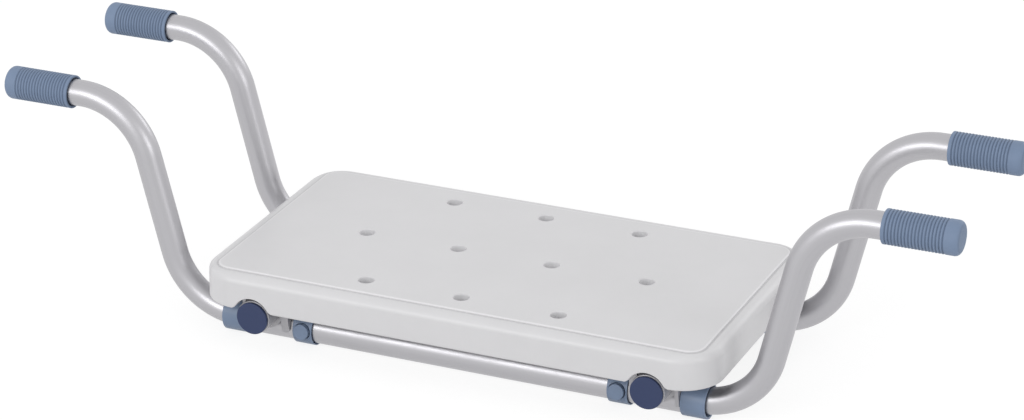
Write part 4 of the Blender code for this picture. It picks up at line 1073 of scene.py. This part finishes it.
def make_clamps():
    """Saddles and jaws.

    The saddle is an outline across the tube, (outwards, up) from the tube's axis, carried along the tube
    and cut by a slot for the jaw. The jaw is a heel with a hollow bearing and a turned boss.
    """
    _, t, c, at = given()
    axis = (0.0, 0.0, c.rise)
    clearance, side_gap, overlap = 1.0 * MM, 0.4 * MM, 0.6 * MM
    round_corner, round_end, round_boss, round_recess = 0.4 * MM, 0.22 * MM, 0.7 * MM, 0.4 * MM
    sleeve = t.tube / 2 + t.seat_gap
    skin_r = sleeve + c.skin
    boss_back = sleeve + clearance
    boss_face = at.knob_face - at.tube_y - c.knob_rim - t.seat_gap
    recess_floor = boss_face - c.recess_depth
    plate_bottom = c.plate_top - c.plate
    end = -math.degrees(c.lip_end)
    lip = arc(sleeve, 225.0, end, 54)
    outline = joined_points(
        arc(sleeve + c.lip_wall, end, end, 0), (skin_r, c.lip_knee), (skin_r, c.plate_top),
        (-c.plate_reach, c.plate_top), (-c.plate_reach, plate_bottom),
        (-c.rear, plate_bottom), (-c.rear, c.skin), arc(skin_r, 180.0, 225.0, 10), lip)
    outline = softened(outline, round_corner, 4, smooth=25.0)
    half = c.width / 2
    body = prism(outline, -half - c.tail, half, "X", round_end)
    rear, below, front = c.rear_wall - c.rear, -t.tube / 2, skin_r + c.skin
    slot = half - c.cheek

    hole = c.bolt / 2 + t.seat_gap
    pocket = hexagon(c.hexagon + 2 * t.seat_gap)
    nut_seat = -c.rear + t.seat_gap + c.nut
    cutters = [
        prism(rectangle(rear, front, below, plate_bottom), -slot, slot, "X"),
        prism(rectangle(boss_back - t.seat_gap, front, below, c.plate_top + PAST), -slot, slot, "X"),
        prism(circle(hole, 32), -c.plate_reach, 0.0, "Y", centre=axis),
        lip_trim(c, c.saddle_lip, sleeve - c.skin, sleeve + 3 * c.skin),
        prism(pocket, -c.rear - PAST, nut_seat + t.seat_gap, "Y", centre=axis)]
    screw_hole = circle(c.screw / 2 + t.seat_gap, 28)
    for side in SIDES:
        centre = (side * c.screw_spacing / 2, -c.screw_setback, 0.0)
        cutters.append(prism(screw_hole, 0.0, 2 * c.plate_top, "Z", centre=centre))
    mesh = combined(body, [("cut", cutter) for cutter in cutters])
    moved(mesh, at.clamp_x, at.tube_y, at.tube_z)
    four("{}_saddle", mesh, "clamp_moulding", "frame", "{}_clamp_saddle")

    radius = c.boss / 2
    boss_outline = softened([(boss_back, 0.0), (boss_back, radius), (boss_face, radius), (boss_face, 0.0)],
                            round_boss, 6, closed=False)
    boss = turned(boss_outline, 80, "Y", axis)
    heel_back = boss_back - c.heel_depth
    start = math.degrees(math.acos(heel_back / sleeve))
    bearing = arc(sleeve, -5.0, start, 16)
    heel_front = boss_back + overlap
    outline = joined_points((heel_front, bearing[0, 1]), bearing, (heel_back, c.heel_top),
                            (heel_front, c.heel_top))
    width = slot - side_gap
    heel = prism(softened(outline, round_corner, 4, smooth=25.0), -width, width, "X", round_corner / 2)
    heel = combined(heel, [("cut", lip_trim(c, c.jaw_lip, 0.0, sleeve + 3 * c.skin))])
    recess = flared(circle(c.recess / 2, 64), recess_floor, boss_face + PAST, boss_face, round_recess, "Y",
                    centre=axis)
    bore = prism(circle(hole, 32), 0.0, recess_floor + PAST, "Y", centre=axis)
    mesh = combined(boss, [("join", heel), ("cut", recess), ("cut", bore)])
    moved(mesh, at.clamp_x, at.tube_y, at.tube_z)
    four("{}_jaw_boss", mesh, "clamp_moulding", "{}_jaw", "{}_clamp_jaw")


def make_knobs():
    """Round knobs: a disc with an eased edge and a shallow dish, and a hub that holds the bolt's head."""
    _, t, c, at = given()
    face = at.knob_face - at.tube_y
    back, radius, hub = face - c.knob_rim, c.knob / 2, c.hub / 2
    floor = back - c.recess_depth
    dish_depth, dish_part = 0.22 * MM, 0.9
    part = np.linspace(0.0, 1.0, 16)
    dish = np.stack([face - dish_depth * (1 - part ** 4), radius * dish_part * part], 1)
    rim = softened([dish[-1], (face, radius), (back, radius), (back, hub), (floor, hub), (floor, 0.0)],
                   c.knob_edge, 7, closed=False)[1:]
    body = turned(joined_points(dish, rim), 96, "Y")
    top = floor + t.seat_gap + c.bolt_head
    pocket = prism(hexagon(c.hexagon + 2 * t.seat_gap), floor - PAST, top, "Y")
    mesh = moved(combined(body, [("cut", pocket)]), at.clamp_x, at.tube_y, at.tube_z + c.rise)
    four("{}_round_knob", mesh, "knob_moulding", "{}_turning_knob", "{}_knob")


def threaded(start, end, radius, depth, pitch, sides=28, rows_per_turn=8):
    """A threaded rod along Y.

    The radius dips by depth times (1 + cos t)/2, where t is the distance along the rod in turns of the
    thread less the angle round it. The thread runs out over the last turn at each end.
    """
    rows = int(round((end - start) / pitch * rows_per_turn)) + 1
    along = np.linspace(start, end, rows)[:, None]
    a = 2 * np.pi * np.arange(sides)[None] / sides
    wave = 0.5 + 0.5 * np.cos(2 * np.pi * along / pitch - a)
    fade = np.clip((along - start) / pitch, 0.0, 1.0) * np.clip((end - along) / pitch, 0.0, 1.0)
    r = radius - depth * (wave * np.minimum(1.0, fade * 2) + 0.5 * (1 - fade))
    return skin(np.stack([r * np.sin(a), np.broadcast_to(along, r.shape), r * np.cos(a)], -1), caps=True)


def chamfered_hexagon(across_flats, low, high):
    """A hexagon prism along Y whose corners are cut by a cone at both ends, as a nut's are."""
    body = prism(hexagon(across_flats), low, high, "Y")
    radius = across_flats / 2
    reach = across_flats / math.sqrt(3) - radius
    rise = 1.3 * reach * math.tan(math.radians(30.0))
    inner, outer = radius * 0.96, radius + reach * 1.1
    cone = turned([(low, 0.0), (low, inner), (low + rise, outer), (high - rise, outer), (high, inner),
                   (high, 0.0)], 60, "Y")
    return combined(body, [("share", cone)])


def make_fasteners():
    """Knob bolts, captive nuts and the screws that hold the clamps."""
    _, t, c, at = given()
    head_low = at.knob_face - at.tube_y - c.knob_rim - c.recess_depth
    head = chamfered_hexagon(c.hexagon, head_low, head_low + c.bolt_head)
    tip, radius = t.seat_gap - c.rear, c.bolt / 2
    plain_end, plain_edge, thread_end, thread_depth = head_low + PAST, 0.2 * MM, 0.6 * MM, 0.28 * MM
    plain = turned(softened([(0.0, 0.0), (0.0, radius), (plain_end, radius), (plain_end, 0.0)], plain_edge,
                            closed=False), 28, "Y")
    thread = threaded(tip, thread_end, radius, thread_depth, c.pitch)
    mesh = combined(head, [("join", plain), ("join", thread)])
    moved(mesh, at.clamp_x, at.tube_y, at.tube_z + c.rise)
    four("{}_hex_bolt", mesh, "zinc_plate", "{}_turning_knob", "{}_knob_bolt")

    nut_end, round_nut = tip + c.nut, 0.35 * MM
    bore = flared(circle(radius + t.seat_gap, 32), tip - PAST, nut_end + PAST, nut_end, round_nut, "Y")
    mesh = combined(chamfered_hexagon(c.hexagon, tip, nut_end), [("cut", bore)])
    moved(mesh, at.clamp_x, at.tube_y, at.tube_z + c.rise)
    four("{}_hex_nut", mesh, "zinc_plate", "frame", "{}_clamp_nut")

    head_r, height, shank = c.screw_head / 2, c.screw_head_height, c.screw / 2
    point, point_r, dome = 2.5 * MM, 0.3 * MM, 1.25
    a = np.linspace(0.0, dome, 9)
    cap = np.stack([-height * np.cos(a) ** 0.6, head_r * np.sin(a) / math.sin(dome)], 1)
    profile = joined_points(cap, (0.0, head_r), (0.0, shank), (c.screw_length - point, shank),
                            (c.screw_length, point_r), (c.screw_length, 0.0))
    screw = turned(profile, 36, "Z")
    arm, reach = 0.55 * MM, 2.0 * MM
    cross = [(arm, -reach), (arm, -arm), (reach, -arm), (reach, arm), (arm, arm), (arm, reach), (-arm, reach),
             (-arm, arm), (-reach, arm), (-reach, -arm), (-arm, -arm), (-arm, -reach)]
    drive_depth, drive_edge = 1.2 * MM, 0.15 * MM
    drive = prism(softened(cross, drive_edge, 3), -height - PAST, -height + drive_depth, "Z")
    screw = combined(screw, [("cut", drive)])
    level = at.tube_z + c.plate_top - c.plate - t.seat_gap
    for side, way in (("inner", -1), ("outer", 1)):
        mesh = moved(screw.copy(), at.clamp_x + way * c.screw_spacing / 2, at.tube_y - c.screw_setback, level)
        four("{}_" + side + "_screw", mesh, "zinc_plate", "frame", "{}_clamp_screw_" + side)


# Stage

CAMERA_TURN = 24.23        # degrees to the right of the front
CAMERA_HEIGHT = 23.64      # degrees above level
CAMERA_ROLL = -0.54        # degrees
CAMERA_DISTANCE = 2489.35 * MM
CAMERA_TARGET = (5.90 * MM, 0.0, 95.40 * MM)
CAMERA_LENS = 123.95       # focal length in millimetres
CAMERA_SENSOR = 36.0       # width of the sensor in millimetres
CAMERA_CLIP = (0.05, 60.0)  # nearest and furthest distance that it sees
SKY = 0.77                 # level of the world's light on the object
FLOOR_GLOW = 0.82          # the floor's own white, on the rays that show the background
FLOOR_SHADE = 0.23         # how much of the light and shadow shows on it there
FLOOR_REACH = 3.0          # half the floor's width
FLOOR_FADE = (0.7, 1.5)    # distances between which it fades into the world
FLOOR_DROP = 0.2 * MM      # how far it lies under the part's lowest level
LAMP_AIM = (0.0, 0.0, 0.06)
# Lamps: name, place, width, depth and power
LAMPS = (
    ("front", (-0.75, -2.05, 1.00), 1.7, 0.80, 14.0),
    ("side", (2.2, -0.9, 0.8), 1.0, 0.8, 6.5),
    ("rear", (0.90, 2.10, 1.10), 1.2, 0.6, 5.0),
)
# The faint light that the floor throws up under the seat: its height, and its width, depth and power
FILL_HEIGHT = 1.5 * MM
FILL = (0.36, 0.15, 0.08)


def add_camera():
    """The camera at the photograph's angle."""
    turn, height, roll = (math.radians(a) for a in (CAMERA_TURN, CAMERA_HEIGHT, CAMERA_ROLL))
    back = Vector((math.sin(turn) * math.cos(height), -math.cos(turn) * math.cos(height), math.sin(height)))
    right = Vector((math.cos(turn), math.sin(turn), 0.0))
    up = back.cross(right)
    level_right = right * math.cos(roll) + up * math.sin(roll)
    level_up = up * math.cos(roll) - right * math.sin(roll)
    matrix = Matrix((level_right, level_up, back)).transposed().to_4x4()
    matrix.translation = Vector(CAMERA_TARGET) + back * CAMERA_DISTANCE
    data = bpy.data.cameras.new("studio_camera")
    data.lens = CAMERA_LENS
    data.sensor_width = CAMERA_SENSOR
    data.clip_start, data.clip_end = CAMERA_CLIP
    camera = bpy.data.objects.new("studio_camera", data)
    camera.matrix_world = matrix
    bpy.context.scene.collection.objects.link(camera)
    bpy.context.scene.camera = camera


def add_lamp(name, place_at, width, depth, power):
    """A soft rectangular lamp that faces the object."""
    data = bpy.data.lights.new(name, "AREA")
    data.shape = "RECTANGLE"
    data.size, data.size_y = width, depth
    data.energy = power
    lamp = bpy.data.objects.new(name, data)
    lamp.location = place_at
    way = Vector(LAMP_AIM) - Vector(place_at)
    lamp.rotation_euler = way.to_track_quat("-Z", "Y").to_euler()
    bpy.context.scene.collection.objects.link(lamp)
    return lamp


def seen_rays(tree):
    """1 on camera, glossy and transmission rays, else 0."""
    path = place(tree, "ShaderNodeLightPath").outputs
    first = maths(tree, "MAXIMUM", path["Is Camera Ray"], path["Is Glossy Ray"])
    return maths(tree, "MAXIMUM", first, path["Is Transmission Ray"])


def make_stage():
    """White world, pale floor that keeps the shadow and fades into the world, lamps and camera."""
    scene = bpy.context.scene
    scene.view_settings.view_transform = "Standard"
    pure = (1.0, 1.0, 1.0, 1.0)
    world = bpy.data.worlds.new("studio")
    tree = cleared(world)
    soft = place(tree, "ShaderNodeBackground", {"Color": pure, "Strength": SKY})
    white = place(tree, "ShaderNodeBackground", {"Color": pure, "Strength": 1.0})
    mix = place(tree, "ShaderNodeMixShader", {0: seen_rays(tree), 1: soft.outputs[0], 2: white.outputs[0]})
    place(tree, "ShaderNodeOutputWorld", {"Surface": mix.outputs[0]})
    scene.world = world

    material = bpy.data.materials.new("studio_floor")
    tree = cleared(material)
    tone = (*scene.bath_colours.floor, 1.0)
    shade_tone = (FLOOR_SHADE, FLOOR_SHADE, FLOOR_SHADE, 1.0)
    paint = place(tree, "ShaderNodeBsdfDiffuse", {"Color": tone, "Roughness": 0.5})
    faint = place(tree, "ShaderNodeBsdfDiffuse", {"Color": shade_tone, "Roughness": 0.5})
    glow = place(tree, "ShaderNodeEmission", {"Color": pure, "Strength": FLOOR_GLOW})
    lit = place(tree, "ShaderNodeAddShader", {0: faint.outputs[0], 1: glow.outputs[0]})
    shown = place(tree, "ShaderNodeMixShader", {0: seen_rays(tree), 1: paint.outputs[0], 2: lit.outputs[0]})
    where = place(tree, "ShaderNodeTexCoord").outputs["Object"]
    distance = place(tree, "ShaderNodeVectorMath", {0: where}, operation="LENGTH").outputs["Value"]
    near, far = FLOOR_FADE
    fade = place(tree, "ShaderNodeMapRange", {"Value": distance, "From Min": near, "From Max": far},
                 interpolation_type="SMOOTHSTEP")
    clear = place(tree, "ShaderNodeBsdfTransparent")
    edge = place(tree, "ShaderNodeMixShader", {0: fade.outputs[0], 1: shown.outputs[0], 2: clear.outputs[0]})
    place(tree, "ShaderNodeOutputMaterial", {"Surface": edge.outputs[0]})
    mesh = bpy.data.meshes.new("studio_floor")
    square = rectangle(-FLOOR_REACH, FLOOR_REACH, -FLOOR_REACH, FLOOR_REACH)
    mesh.from_pydata([(x, y, 0.0) for x, y in square], [], [(0, 1, 2, 3)])
    mesh.materials.append(material)
    floor = bpy.data.objects.new("studio_floor", mesh)
    floor.location.z = -FLOOR_DROP
    scene.collection.objects.link(floor)
    for lamp in LAMPS:
        add_lamp(*lamp)
    fill = add_lamp("fill", (0.0, 0.0, FILL_HEIGHT), *FILL)
    fill.rotation_euler = (math.pi, 0.0, 0.0)
    fill.visible_camera = False
    fill.visible_glossy = False
    add_camera()


# Operators and panel

class BATHSEAT_OT_board(bpy.types.Operator):
    """Make the seat board"""
    bl_idname = "bathseat.board"
    bl_label = "Seat board"

    def execute(self, context):
        make_board()
        return {"FINISHED"}


class BATHSEAT_OT_centre_tubes(bpy.types.Operator):
    """Make the two centre tubes"""
    bl_idname = "bathseat.centre_tubes"
    bl_label = "Centre tubes"

    def execute(self, context):
        make_centre_tubes()
        return {"FINISHED"}


class BATHSEAT_OT_arms(bpy.types.Operator):
    """Make the four cranked arms"""
    bl_idname = "bathseat.arms"
    bl_label = "Arms"

    def execute(self, context):
        make_arms()
        return {"FINISHED"}


class BATHSEAT_OT_sleeves(bpy.types.Operator):
    """Make the four rubber sleeves"""
    bl_idname = "bathseat.sleeves"
    bl_label = "Sleeves"

    def execute(self, context):
        make_sleeves()
        return {"FINISHED"}


class BATHSEAT_OT_collars(bpy.types.Operator):
    """Make the end collars and the button collars"""
    bl_idname = "bathseat.collars"
    bl_label = "Collars"

    def execute(self, context):
        make_collars()
        return {"FINISHED"}


class BATHSEAT_OT_buttons(bpy.types.Operator):
    """Make the push buttons, lock pins and springs"""
    bl_idname = "bathseat.buttons"
    bl_label = "Push buttons"

    def execute(self, context):
        make_buttons()
        return {"FINISHED"}


class BATHSEAT_OT_clamps(bpy.types.Operator):
    """Make the clamp saddles and jaws"""
    bl_idname = "bathseat.clamps"
    bl_label = "Clamps"

    def execute(self, context):
        make_clamps()
        return {"FINISHED"}


class BATHSEAT_OT_knobs(bpy.types.Operator):
    """Make the knobs"""
    bl_idname = "bathseat.knobs"
    bl_label = "Knobs"

    def execute(self, context):
        make_knobs()
        return {"FINISHED"}


class BATHSEAT_OT_fasteners(bpy.types.Operator):
    """Make the bolts, nuts and screws"""
    bl_idname = "bathseat.fasteners"
    bl_label = "Fasteners"

    def execute(self, context):
        make_fasteners()
        return {"FINISHED"}


class BATHSEAT_OT_stage(bpy.types.Operator):
    """Make the floor, the light and the camera"""
    bl_idname = "bathseat.stage"
    bl_label = "Stage"

    def execute(self, context):
        make_stage()
        return {"FINISHED"}


PIECE_OPERATORS = (BATHSEAT_OT_board, BATHSEAT_OT_centre_tubes, BATHSEAT_OT_arms, BATHSEAT_OT_sleeves,
                   BATHSEAT_OT_collars, BATHSEAT_OT_buttons, BATHSEAT_OT_clamps, BATHSEAT_OT_knobs,
                   BATHSEAT_OT_fasteners, BATHSEAT_OT_stage)
GROUPS = {"bath_board": BoardSizes, "bath_tubes": TubeSizes, "bath_clamps": ClampSizes,
          "bath_colours": FinishColours}


class BATHSEAT_PT_panel(bpy.types.Panel):
    """Lists the sizes, the colours and the pieces"""
    bl_idname = "BATHSEAT_PT_panel"
    bl_label = "Bath seat"
    bl_space_type = "VIEW_3D"
    bl_region_type = "UI"
    bl_category = "Bath seat"

    def draw(self, context):
        layout_column = self.layout.column()
        for operator in PIECE_OPERATORS:
            layout_column.operator(operator.bl_idname)
        for group in GROUPS:
            values = getattr(context.scene, group)
            for name in values.__annotations__:
                layout_column.prop(values, name)


def register():
    """Registers the property groups, the operators and the panel."""
    for group, kind in GROUPS.items():
        bpy.utils.register_class(kind)
        setattr(bpy.types.Scene, group, PointerProperty(type=kind))
    for kind in (*PIECE_OPERATORS, BATHSEAT_PT_panel):
        bpy.utils.register_class(kind)


def unregister():
    """Takes everything that register added away again."""
    for kind in (BATHSEAT_PT_panel, *reversed(PIECE_OPERATORS)):
        bpy.utils.unregister_class(kind)
    for group, kind in GROUPS.items():
        delattr(bpy.types.Scene, group)
        bpy.utils.unregister_class(kind)


def main():
    """Registers the add-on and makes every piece."""
    register()
    for operator in PIECE_OPERATORS:
        module, name = operator.bl_idname.split(".")
        getattr(getattr(bpy.ops, module), name)()


if __name__ == "__main__":
    main()
